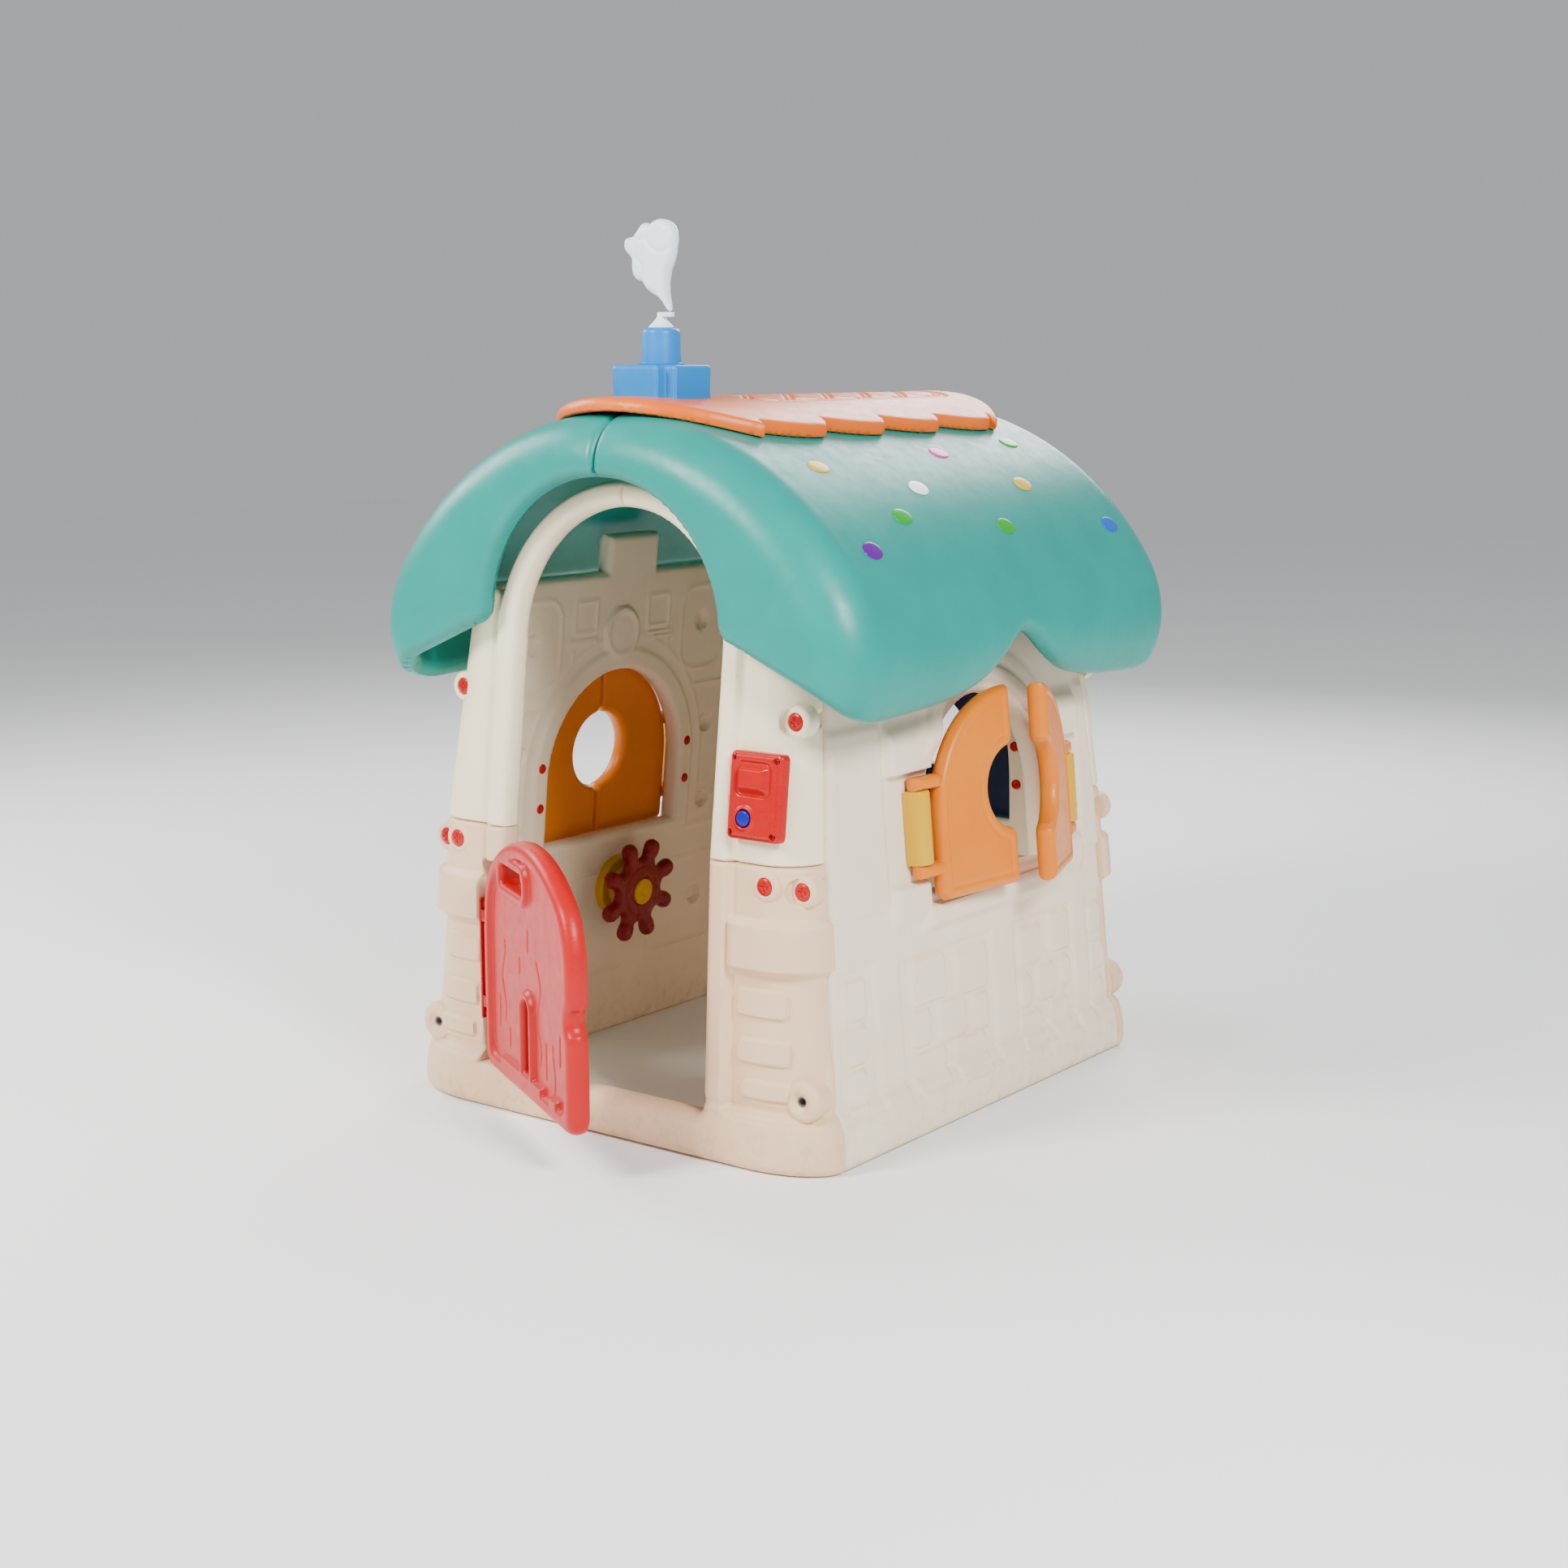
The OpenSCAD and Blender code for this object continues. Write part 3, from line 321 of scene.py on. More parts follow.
def lathe(name, profile, around=72, smooth_deg=40):
    """Solid of revolution about Z. profile lists (r, z) from the bottom of the axis to
    its top; with both ends off the axis it closes on itself as a ring instead."""
    prof = np.array(profile, float)
    t = np.linspace(0, 2 * math.pi, around, endpoint=False)
    loop = prof[0, 0] > 0
    ring = prof if loop else prof[1:-1]
    x, y = np.outer(ring[:, 0], np.cos(t)), np.outer(ring[:, 0], np.sin(t))
    pts = np.stack([x, y, np.repeat(ring[:, 1:], around, 1)], 2).reshape(-1, 3)
    rows = np.arange(len(ring) * around).reshape(-1, around)
    rows = np.concatenate([rows, rows[:1]]) if loop else rows
    k = np.roll(np.arange(around), -1)
    faces = [np.stack([a, a[k], b[k], b], 1) for a, b in zip(rows[:-1], rows[1:])]
    if not loop:
        low, high = np.full(around, len(pts)), np.full(around, len(pts) + 1)
        faces.append(np.stack([rows[0][k], rows[0], low, low], 1))
        faces.append(np.stack([rows[-1], rows[-1][k], high, high], 1))
        pts = np.concatenate([pts, [[0, 0, prof[0, 1]], [0, 0, prof[-1, 1]]]])
    return write_mesh(name, pts, np.concatenate(faces), smooth_deg)


def arc(cr, cz, r, a0, a1, n=6):
    """Points (r, z) along a circle's arc between two angles in degrees."""
    a = np.radians(np.linspace(a0, a1, n))
    return [(cr + r * math.cos(x), cz + r * math.sin(x)) for x in a]


def settled(obj, origin, x, y, z):
    """Moves a piece's mesh from its own frame (mm) to the frame with these unit axes."""
    m = Matrix([[x[i], y[i], z[i], origin[i] * MM] for i in range(3)] + [[0, 0, 0, 1]])
    obj.data.transform(m)
    return obj


def on_post(obj, spot, out, turned, side):
    """Seats a round piece on a corner post's face at (x, z), its axis out of the wall."""
    x, z = spot
    y = -float(half_d(np.array(z))) + float(drop(np.array(x), np.array(z))) - out
    return settled(obj, (turned * side * x, turned * y, z), (turned, 0, 0), (0, 0, 1), (0, -turned, 0))


def boss(name, r, depth, seat):
    """Fat round boss, domed and rounded over at its rim, with a sunk seat for a screw."""
    rim = arc(r - 8, -8, 8, 90, 0, 8)
    well = [(seat + 3, 0.4), (seat + 1, 0), (seat, -1.2), (seat, -4.2), (0, -4.2)]
    return lathe(name, [(0, -depth), (r, -depth), *rim[::-1], *well])


def anchor_boss(name):
    """Bottom boss with a hole right through for a ground peg, flared at its mouth."""
    rim = arc(23, -13, 13, 0, 90, 8)
    return lathe(name, [(8.6, -44), (34, -44), *rim, (19, 0), (16.5, -1.6), (12.5, -5), (9.2, -7), (8.6, -9)])


# The grey down each peg hole is painted shade in the bore; the walls there are the same beige HDPE.
peg_bore_shade = moulded("peg_hole_painted_shade", "#6E6A66", "#7A7672", 0.5)
for turned, where in ((1, "front"), (-1, "back")):
    for side, hand in ((1, "right"), (-1, "left")):
        for k, spot in enumerate(POST_SCREWS):
            piece = on_post(boss(f"{where}_{hand}_post_boss_{k + 1}", 27, 30, 15.2), spot, 3.4, turned, side)
            finish_piece(piece, beige, "house", "beige_hdpe")
        piece = on_post(anchor_boss(f"{where}_{hand}_peg_boss"), ANCHOR, 7.6, turned, side)
        finish_piece(piece, beige, "house", "beige_hdpe")
        # Grey tube lining the bore: painted shade inside the peg hole.
        tube = lathe(f"{where}_{hand}_peg_bore_shade_lining", [(6.6, -44), (8.9, -44), (8.9, -8), (8.2, -7), (6.6, -8)])
        finish_piece(on_post(tube, ANCHOR, 7.6, turned, side), peg_bore_shade, "house", "beige_hdpe")

# ---------------------------------------------------------------- front arch halves
# Two mirrored HDPE shells over the lower wall, met at the crown of the doorway. The
# fat rolled trim carries on up the jambs and round the arch, paler than the posts.


def arch_edges(u, z):
    x, y, _ = plan_place(u, z, 0.0)
    return [
        (door_edge(x, z, -500.0), 19, 13),
        (z - SEAM_Z - SEAM_GAP, 6, 4),
        (x - SEAM_GAP, 4, 3),
        ((FLAT_U + CORNER_U - u) * 0.72 - SEAM_GAP, 9, 5),
        (np.maximum(DOOR_HALF + TRIM_W - np.hypot(x, z - ARCH_Z), 905 - z), 14, 8),
    ]


def arch_top(u, z, inside):
    x, y, _ = plan_place(u, z, 0.0)
    away = door_edge(x, z, -500.0)
    groove = 3.5 * ridge(away - 51, 5) * (z < 905)
    trim = TRIM_OUT * ease((TRIM_W - away) / 7) + 1.5 * ridge(away - 26, 14)
    return trim - groove - screw_pit(x, z, (ARCH_SCREW,))


cream = moulded("blow_moulded_hdpe_cream", "#FAEBC6", "#FCF0D0", 0.40)
for side, name in ((1, "front_arch_right"), (-1, "front_arch_left")):
    def half_place(u, z, w, side=side):
        x, y, z = plan_place(u, z, w)
        return side * x, y, z

    half = moulding(
        name + "_shell", np.linspace(0, 486, 120), np.linspace(SEAM_Z, 1106, 150),
        arch_edges, arch_top, lambda u, z, d: np.full(u.shape, -WALL_T), half_place,
    )
    finish_piece(half, cream, "house", "cream_hdpe", name)
    piece = on_post(boss(name + "_boss", 27, 30, 15.2), ARCH_SCREW, 4.2, 1, side)
    finish_piece(piece, cream, "house", "cream_hdpe")
    piece = on_post(boss(name.replace("front", "back") + "_boss", 27, 30, 15.2), ARCH_SCREW, 4.2, -1, side)
    finish_piece(piece, cream, "house", "cream_hdpe")

# ---------------------------------------------------------------- window walls
# Two HDPE shells from one mould, turned end for end: a D-shaped window with a sill and
# hood blocks, raised tiles in sunk fields below it, and a tower up into the roof. The
# inner skin has a ringed disc over the window, framed panels and round dimples.

WIN_R, WIN_SILL, WIN_ARCH, WIN_Y = 190.0, 408.0, 538.0, 54.0
LEAF_R = 204.0
SIDE_DEG = math.atan(SIDE_LEAN)
WALL_TOP, TOWER_HALF, TOWER_Y = 915.0, 72.0, 30.0


def lean_place(x, y, z, turned=False):
    """Point in a window wall's own frame (out, along, up) put into the house."""
    c, s = math.cos(SIDE_DEG), math.sin(SIDE_DEG)
    px, pz = HALF_W + c * x - s * z, np.maximum(s * x + c * z, 0)
    return (-px, -y, pz) if turned else (px, y, pz)


def window_out(y, z):
    """Distance outside the window: half a circle over a square sill."""
    a = np.hypot(y - WIN_Y, np.maximum(z - WIN_ARCH, 0)) - WIN_R
    b = WIN_SILL - z
    return np.where((a > 0) & (b > 0), np.hypot(a, b), np.maximum(a, b))


def wall_edges(y, z):
    side = half_d(z) - CORNER_R - SEAM_GAP - np.abs(y)
    tower = np.minimum(TOWER_HALF - np.abs(y - TOWER_Y), 984 - z)
    return [
        (window_out(y, z), 11, 9),
        (side, 10, 6),
        (np.maximum(WALL_TOP - z, tower), 12, 12),
        (z, 16, 10),
    ]


TILES = (
    (-163, 260, 55, 40), (-27, 252, 53, 41), (-193, 182, 31, 33), (-96, 178, 43, 37),
    (-4, 172, 26, 34), (-175, 106, 53, 37), (-45, 100, 51, 38), (172, 254, 42, 36),
    (276, 262, 38, 38), (149, 174, 22, 31), (221, 178, 32, 34), (292, 184, 19, 29),
    (157, 100, 39, 35), (262, 105, 34, 35), (-381, 270, 34, 35), (-387, 196, 34, 34),
    (-394, 122, 33, 34), (408, 262, 24, 30), (406, 190, 24, 30), (404, 120, 24, 30),
)
FIELDS = ((-102, 190, 150, 120), (222, 190, 106, 118), (-385, 196, 66, 126), (411, 196, 34, 122))
DIMPLES = (
    (-248, 797), (240, 802), (275, 594), (280, 438), (275, 236), (-275, 594), (-280, 438), (-262, 236),
)


def wall_top(y, z, inside):
    """Outer relief: foot roll, belt line, sunk fields with tiles, sill, hoods, arch band."""
    fields = sum(-5.0 * ease(rect_in(y, z, cy, cz, hy, hz, 5) / 5) for cy, cz, hy, hz in FIELDS)
    tiles = sum(6.0 * ease(rect_in(y, z, cy, cz, hy, hz, 15) / 4) for cy, cz, hy, hz in TILES)
    around = np.hypot(y - WIN_Y, np.maximum(z - WIN_ARCH, 0))
    band = 7.0 * ease((around - 207) / 7) * ease((243 - around) / 9) * ease((z - 640) / 24)
    outer = 3.0 * ease((around - 243) / 8) * ease((274 - around) / 10) * ease((z - 660) / 30)
    clear = ease((around - LEAF_R - 3) / 5)
    side = np.abs(y - WIN_Y)
    belt = 5.5 * ease((z - 398) / 8) * ease((side - 316) / 10) * ease((720 - z) / 20)
    hood = 20 * ease((z - 617) / 6) * ease((716 - z) / 44) * clear
    hood = hood * ease((322 - side) / 20) * ease((side - 96) / 20)
    ear = 15 * ease((434 - z) / 6) * ease((z - 352) / 40) * ease((322 - side) / 22) * ease((side - 207) / 4)
    sill = 17 * ease((390 - z) / 6) * ease((z - 334) / 26) * ease((236 - side) / 26)
    blocks = np.maximum(np.maximum(hood, ear), sill)
    return foot_roll(z) + fields + tiles + belt + np.maximum(band, outer) + blocks


def wall_inner(y, z, inside):
    """Inner relief, as raised lines on the skin: rings, frames and dimples."""
    x = WIN_Y - y
    away = window_out(y, z)
    lift = 5.0 * ease((44 - away) / 7) * ease((z - 380) / 20)
    lift = lift + 2.2 * ridge(away - 66, 4.5) * ease((z - 440) / 20)
    ring = np.hypot(x + 5, z - 800)
    lift = np.maximum(lift, 8.0 * ease((52 - ring) / 6) - 3.0 * ease((40 - ring) / 4))
    for cx, cz, hx, hz, r in (
        (-108, 837, 34, 32, 6), (102, 834, 34, 32, 6), (-114, 790, 40, 7, 4), (108, 788, 40, 7, 4),
        (-140, 766, 4, 12, 3), (-88, 766, 4, 12, 3), (82, 764, 4, 12, 3), (134, 764, 4, 12, 3),
        (-238, 795, 66, 84, 44), (240, 790, 68, 84, 44), (-262, 560, 60, 118, 16), (272, 560, 60, 118, 16),
        (-240, 232, 62, 92, 12), (236, 232, 90, 92, 12), (0, 232, 128, 104, 10), (-150, 266, 14, 66, 13),
    ):
        d = rect_in(x, z, cx, cz, hx, hz, r)
        lift = np.maximum(lift, 3.6 * ridge(d - 3, 3.2) * (away > 70))
    lift = np.maximum(lift, 3.0 * ridge(z - 386, 6))
    for cx, cz in DIMPLES:
        lift = lift - 14.0 * ease((20 - np.hypot(x - cx, z - cz)) / 5)
    return -WALL_T - lift


# The last argument sets how strong the painted shade at the foot is.
greige = moulded("blow_moulded_hdpe_greige", "#F2DFC4", "#F6E6CC", 0.42, foot_shade=0.3)
for turned, name in ((False, "right_wall"), (True, "left_wall")):
    wall = moulding(
        name + "_shell", np.linspace(-456, 456, 204), np.linspace(0, 990, 222),
        wall_edges, wall_top, wall_inner,
        lambda y, z, w, turned=turned: lean_place(w, y, z, turned),
    )
    finish_piece(wall, greige, "house", "greige_hdpe", name)

# ---------------------------------------------------------------- back walls
# The plain back of the house: a lower HDPE shell like the front's, dipped in the middle
# for the window panel that stands on it and carries the third pair of shutters.

BACK_DIP, DIP_Z, UP_DEG = 300.0, 340.0, math.atan(UP_LEAN)


def turned_place(u, z, w):
    x, y, z = plan_place(u, z, w)
    return -x, -y, z


def dip(x, z, gap):
    """Distance below the stepped seam between the two back panels, less a gap."""
    a, b = SEAM_Z - z, np.maximum(np.abs(x) - BACK_DIP, DIP_Z - z)
    return np.minimum(a, b) - gap


def back_low_edges(u, z):
    x, y, _ = plan_place(u, z, 0.0)
    hole = np.hypot(np.abs(x) - ANCHOR[0], z - ANCHOR[1]) - 20
    return [
        (dip(x, z, SEAM_GAP), 7, 4), (z, 16, 10), (hole, 3, 1),
        ((FLAT_U + CORNER_U - np.abs(u)) * 0.72 - SEAM_GAP, 9, 5),
    ]


def back_low_top(u, z, inside):
    x, y, _ = plan_place(u, z, 0.0)
    lift = foot_roll(z) + post_relief(x, z) * (np.abs(x) > 235)
    for k in (-1.5, -0.5, 0.5, 1.5):
        lift = lift + 3.6 * ease(rect_in(x, z, k * 108, 254, 44, 34, 14) / 5)
        lift = lift + 3.6 * ease(rect_in(x, z, k * 108, 160, 44, 34, 14) / 5)
    return lift


low = moulding(
    "back_lower_wall", np.linspace(-486, 486, 206), np.linspace(0, SEAM_Z, 112), back_low_edges, back_low_top,
    lambda u, z, d: np.full(u.shape, -WALL_T), turned_place,
)
finish_piece(low, beige, "house", "beige_hdpe", "back_lower_panel")


def back_up_edges(u, z):
    x, y, _ = plan_place(u, z, 0.0)
    pane = np.hypot(x, np.maximum(z - WIN_ARCH, 0)) - WIN_R
    sill = WIN_SILL - z
    window = np.where((pane > 0) & (sill > 0), np.hypot(pane, sill), np.maximum(pane, sill))
    return [
        (window, 11, 9), (-dip(x, z, -SEAM_GAP), 6, 4),
        ((FLAT_U + CORNER_U - np.abs(u)) * 0.72 - SEAM_GAP, 9, 5),
        (np.maximum(DOOR_HALF + TRIM_W - np.hypot(x, z - ARCH_Z), 905 - z), 14, 8),
    ]


def back_up_top(u, z, inside):
    x, y, _ = plan_place(u, z, 0.0)
    around = np.hypot(x, np.maximum(z - WIN_ARCH, 0))
    band = 6.0 * ease((around - 209) / 7) * ease((240 - around) / 9) * ease((z - 640) / 24)
    rib = 5.0 * ease((34 - np.abs(np.hypot(x, z - ARCH_Z) - 236)) / 8) * ease((z - 836) / 20)
    return band + rib - screw_pit(x, z, (ARCH_SCREW,))


up = moulding(
    "back_upper_wall", np.linspace(-486, 486, 196), np.linspace(DIP_Z, 1106, 156), back_up_edges, back_up_top,
    lambda u, z, d: np.full(u.shape, -WALL_T), turned_place,
)
finish_piece(up, cream, "house", "cream_hdpe", "back_upper_panel")

# ---------------------------------------------------------------- roof halves
# Two puffy HDPE shells met along the ridge. Each bends over a 575 mm crown, rolls down
# at both ends to an arched lip, and hangs in a lobe at each corner with a notch between.

CROWN_R, CROWN_Z, ROOF_L = 575.0, 640.0, 532.0
BULGE_DEG, CURL_R, ROLL_R = 58.0, 213.0, 88.0
LIP_R, LIP_Z = 250.0, 860.0
BULGE = math.radians(BULGE_DEG)
CROWN_ARC = CROWN_R * BULGE


def roof_section(s):
    """Cross-section: the crown's circle for the first 58 degrees, then a tighter curl below it.
    Gives the point (x, z) and the outward normal."""
    turn = np.where(s < CROWN_ARC, s / CROWN_R, BULGE + (s - CROWN_ARC) / CURL_R)
    cx, cz = (CROWN_R - CURL_R) * math.sin(BULGE), CROWN_Z + (CROWN_R - CURL_R) * math.cos(BULGE)
    r = np.where(s < CROWN_ARC, CROWN_R, CURL_R)
    x = np.where(s < CROWN_ARC, 0.0, cx) + r * np.sin(turn)
    z = np.where(s < CROWN_ARC, CROWN_Z, cz) + r * np.cos(turn)
    return x, z, np.sin(turn), np.cos(turn)


def roof_length(v):
    """Path along the ridge and over an end: straight, a quarter roll of radius 88, then
    inwards down the end. Gives y, the depth below the crown and the normal's two parts."""
    straight, quarter = ROOF_L - ROLL_R, ROLL_R * math.pi / 2
    q = np.abs(v)
    a = np.clip((q - straight) / ROLL_R, 0, math.pi / 2)
    y = np.minimum(q, straight) + ROLL_R * np.sin(a)
    depth = ROLL_R * (1 - np.cos(a)) + np.maximum(q - straight - quarter, 0)
    return np.sign(v) * y, depth, np.sign(v) * np.sin(a), np.cos(a)


def roof_place(s, v, w, side=1):
    x, z, nx, nz = roof_section(s)
    y, depth, ny, nr = roof_length(v)
    inward = depth - w * nr
    return side * (x - nx * inward), y + w * ny, z - nz * inward


def roof_hem(x, y):
    """Height of the hem: two lobes a side with a bell-shaped notch between, turned up at
    the ends and rising inwards to the arched lip."""
    rise = 40 * np.maximum(0, (np.abs(y) - 420) / 112) ** 1.5
    return 718 + 128 / (1 + (y / 100) ** 2) + rise + 0.43 * np.maximum(0, 485 - np.abs(x))


def roof_edges(s, v):
    x, y, z = roof_place(s, v, 0.0)
    lip = np.hypot(x, np.maximum(z - LIP_Z, 0)) - LIP_R
    hem = (z - roof_hem(x, y)) * 0.9
    blend = np.clip(0.5 + (lip - hem) / 60, 0, 1)
    low = hem * blend + lip * (1 - blend) - 15 * blend * (1 - blend)
    return [(low, 23, 23), (s - 0.3, 12, 5)]


def roof_thick(s, v, inside):
    """Thickness of the double skin: 75 mm over the crown, 44 mm down the ends."""
    y, depth, _, nr = roof_length(v)
    return -(46 + 28 * nr * ease((500 - np.abs(y)) / 60) * ease((640 - s) / 60))


teal = moulded("blow_moulded_hdpe_teal", "#00887E", "#008E84", 0.34, ripple=0.10)
end_v = ROOF_L - ROLL_R + ROLL_R * math.pi / 2 + 165
for side, name in ((1, "roof_right"), (-1, "roof_left")):
    half = moulding(
        name + "_shell", np.linspace(0, 850, 142), np.linspace(-end_v, end_v, 262), roof_edges,
        lambda s, v, d: 3.0 * ease(d / 70) - 3.0, roof_thick,
        lambda s, v, w, side=side: roof_place(s, v, w, side),
    )
    finish_piece(half, teal, "house", "teal_hdpe", name)

# ---------------------------------------------------------------- ridge cap
# One salmon HDPE shell laid over the ridge, like overlapping tongues along each side.
# A long oval with double lines and a slanted lattice is pressed into its flat top.

CAP_L, CAP_T, TOOTH, TIP_Y = 490.0, 24.0, 172.5, -349.0


def cap_point(s, y, w):
    """Point at arc distance s from the ridge, w above the crown."""
    a = s / CROWN_R
    return (CROWN_R + w) * np.sin(a), y, CROWN_Z + (CROWN_R + w) * np.cos(a)


def cap_edges(s, y):
    """Four tongues a side, each swelling slowly and rounded off at its end; round ends."""
    tooth = np.mod((y - TIP_Y) / TOOTH, 1.0)
    rise, fall = np.minimum(tooth / 0.84, 1), np.maximum(tooth - 0.84, 0) / 0.16
    swell = np.sin(rise * math.pi / 2) * np.sqrt(np.clip(1 - fall**2, 0, 1))
    inner = (y > TIP_Y - 20) & (y < TIP_Y + 4 * TOOTH)
    width = np.where(inner, 206 + 28 * swell, 234)
    nose = CAP_L - 145 * np.clip(np.abs(s) / 236, 0, 1.2) ** 2.2
    return [((width - np.abs(s)) * 0.95, 13, 3), ((nose - np.abs(y)) * 0.8, 13, 3)]


def cap_top(s, y, inside):
    """Pressed lines: two rings of an oval, and pairs of slanted bars inside it."""
    oval = rect_in(s, y, 0, 92, 106, 345, 100)
    lines = ridge(oval - 3, 3.2) + ridge(oval - 15, 3.2)
    for slope in (1, -1):
        k = (y + slope * s * 1.25) / 118
        cell = (k - np.round(k)) * 118 * 0.62
        lines = lines + ridge(np.abs(cell) - 5, 2.6) * (oval > 18)
    return CAP_T - 3.2 * np.clip(lines, 0, 1) - 1.0 * ease((oval + 4) / 8)


salmon = moulded("blow_moulded_hdpe_salmon", "#DE6200", "#E46A06", 0.36, ripple=0.10)
cap = moulding(
    "ridge_cap_shell", np.linspace(-240, 240, 130), np.linspace(-494, 494, 262), cap_edges, cap_top,
    lambda s, y, d: np.full(s.shape, 0.6), cap_point,
)
finish_piece(cap, salmon, "house", "salmon_hdpe", "ridge_cap")

# ---------------------------------------------------------------- chimney
# A sky-blue HDPE block with inset corners, plugged through the cap, and a round pot
# on it whose top is rounded over into the seat for the smoke.

CHIMNEY_Y, CAP_TOP = -347.0, 1240.0


def sweep(name, outline, zs, insets, place=None, smooth_deg=40):
    """Closed prism of a plan outline: at each height zs the outline is drawn in along its
    own normal by the matching inset, so edges can be rounded; both ends are fans."""
    base = np.array(outline, float)
    ahead, behind = np.roll(base, -1, 0), np.roll(base, 1, 0)
    tangent = ahead - behind
    tangent /= np.linalg.norm(tangent, axis=1)[:, None]
    area = np.sum(base[:, 0] * ahead[:, 1] - ahead[:, 0] * base[:, 1])
    normal = np.stack([tangent[:, 1], -tangent[:, 0]], 1) * (1 if area > 0 else -1)
    n = len(base)
    pts = np.concatenate([np.c_[base - normal * d, np.full(n, z)] for z, d in zip(zs, insets)])
    centre = base.mean(0)
    pts = np.concatenate([pts, [[*centre, zs[0]], [*centre, zs[-1]]]])
    i, j = np.meshgrid(np.arange(len(zs) - 1), np.arange(n), indexing="ij")
    k = (j + 1) % n
    side = np.stack([i * n + j, i * n + k, (i + 1) * n + k, (i + 1) * n + j], 2).reshape(-1, 4)
    j = np.arange(n)
    k = (j + 1) % n
    low, high = np.full(n, len(pts) - 2), np.full(n, len(pts) - 1)
    last = (len(zs) - 1) * n
    ends = [np.stack([k, j, low, low], 1), np.stack([last + j, last + k, high, high], 1)]
    if place:
        pts = place(pts)
    return write_mesh(name, pts, np.concatenate([side, *ends]), smooth_deg)


def rounded(points, radii, n=5):
    """Closed outline with its corners rounded: a quadratic curve over each corner cut
    back by its radius along both sides."""
    p = np.array(points, float)
    out = []
    for i, r in enumerate(np.broadcast_to(radii, len(p))):
        a, b, c = p[i - 1], p[i], p[(i + 1) % len(p)]
        back, on = a - b, c - b
        la, lb = np.linalg.norm(back), np.linalg.norm(on)
        start, stop = b + back / la * min(r, la * 0.48), b + on / lb * min(r, lb * 0.48)
        for t in np.linspace(0, 1, n):
            out.append((1 - t) ** 2 * start + 2 * t * (1 - t) * b + t * t * stop)
    return np.array(out)


def fine(points, step):
    """Outline resampled so that no side is longer than step."""
    out = []
    for a, b in zip(points, np.roll(points, -1, 0)):
        n = max(1, int(np.ceil(np.linalg.norm(b - a) / step)))
        out += [a + (b - a) * k / n for k in range(n)]
    return np.array(out)


def edge_rings(low, high, r_low, r_high, n=5):
    """Heights and insets of a prism whose lower and upper edges are rounded."""
    a = np.radians(np.linspace(0, 90, n))
    zs = [*(low + r_low * (1 - np.cos(a))), *(high - r_high * (1 - np.cos(a[::-1])))]
    ins = [*(r_low * (1 - np.sin(a))), *(r_high * (1 - np.sin(a[::-1])))]
    return zs, ins


sky = moulded("blow_moulded_hdpe_sky_blue", "#0078C4", "#007ECA", 0.34)
half, notch = 70.0, 22.0
corner = [(half, notch - half), (half, half - notch), (half - notch, half - notch)]
cross = []
for _ in range(4):
    cross += corner
    corner = [(-y, x) for x, y in corner]
plan = fine(rounded(cross, 7, 5), 6)
zs, ins = edge_rings(CAP_TOP - 14, CAP_TOP + 50, 0.5, 7)
block = sweep("chimney_block", plan, [CAP_TOP - 14, CAP_TOP + 4, *zs[5:]], [-2.5, 1.5, *ins[5:]])
settled(block, (0, CHIMNEY_Y, 0), (1, 0, 0), (0, 1, 0), (0, 0, 1))
finish_piece(block, sky, "house", "blue_hdpe", "chimney")
pot = lathe("chimney_pot", [
    (0, 1288), *arc(36, 1292, 4, -90, 0, 3), (34, 1294), (34, 1296), (32.4, 1310),
    *arc(24, 1342, 8.2, 0, 90, 7), (11, 1350.2), (10.4, 1348), (10.4, 1336), (0, 1336),
])
settled(pot, (0, CHIMNEY_Y, 0), (1, 0, 0), (0, 1, 0), (0, 0, 1))
finish_piece(pot, sky, "house", "blue_hdpe")

# ---------------------------------------------------------------- smoke
# A white PP puff on a pointed stem that clips into a cone on the chimney pot. The puff
# is a fully rounded plate, lobed down its left edge, with soft dents between the lobes.


def poly_in(u, v, points):
    """Signed distance inside a closed polygon: least distance to its sides, positive
    where a ray along +u crosses the outline an odd number of times."""
    near, odd = np.full(u.shape, 1e9), np.zeros(u.shape, bool)
    for a, b in zip(points, np.roll(points, -1, 0)):
        e, f = b - a, np.stack([u - a[0], v - a[1]])
        t = np.clip((f[0] * e[0] + f[1] * e[1]) / (e @ e), 0, 1)
        near = np.minimum(near, np.hypot(f[0] - t * e[0], f[1] - t * e[1]))
        if a[1] != b[1]:
            odd ^= ((a[1] > v) != (b[1] > v)) & (u < a[0] + (v - a[1]) * e[0] / e[1])
    return np.where(odd, near, -near)


SMOKE_Z, SMOKE_HALF_T = 1376.3, 15.0
puff = rounded([
    (18, 0), (25, 0), (14, 36), (18, 64), (30, 88), (36, 118), (30, 142), (14, 151), (-8, 151.5),
    (-20, 142), (-32, 148), (-44, 134), (-54, 124), (-70, 123), (-73, 110), (-70, 100), (-56, 88),
    (-56, 64), (-46, 52), (-34, 50), (-26, 38), (-14, 30), (3, 22),
], 30, 6)


def puff_lobes(u, v, d):
    """Fat in the middle of the puff, thin at the stem, with dents between the lobes."""
    rings = ((-66, 104, 22), (-38, 140, 22), (-52, 66, 24), (10, 128, 30))
    dents = sum(ridge(np.hypot(u - x, v - z) - r, 4) for x, z, r in rings)
    return SMOKE_HALF_T - 1.6 * np.clip(dents, 0, 1) - 3 * ease((40 - v) / 40)


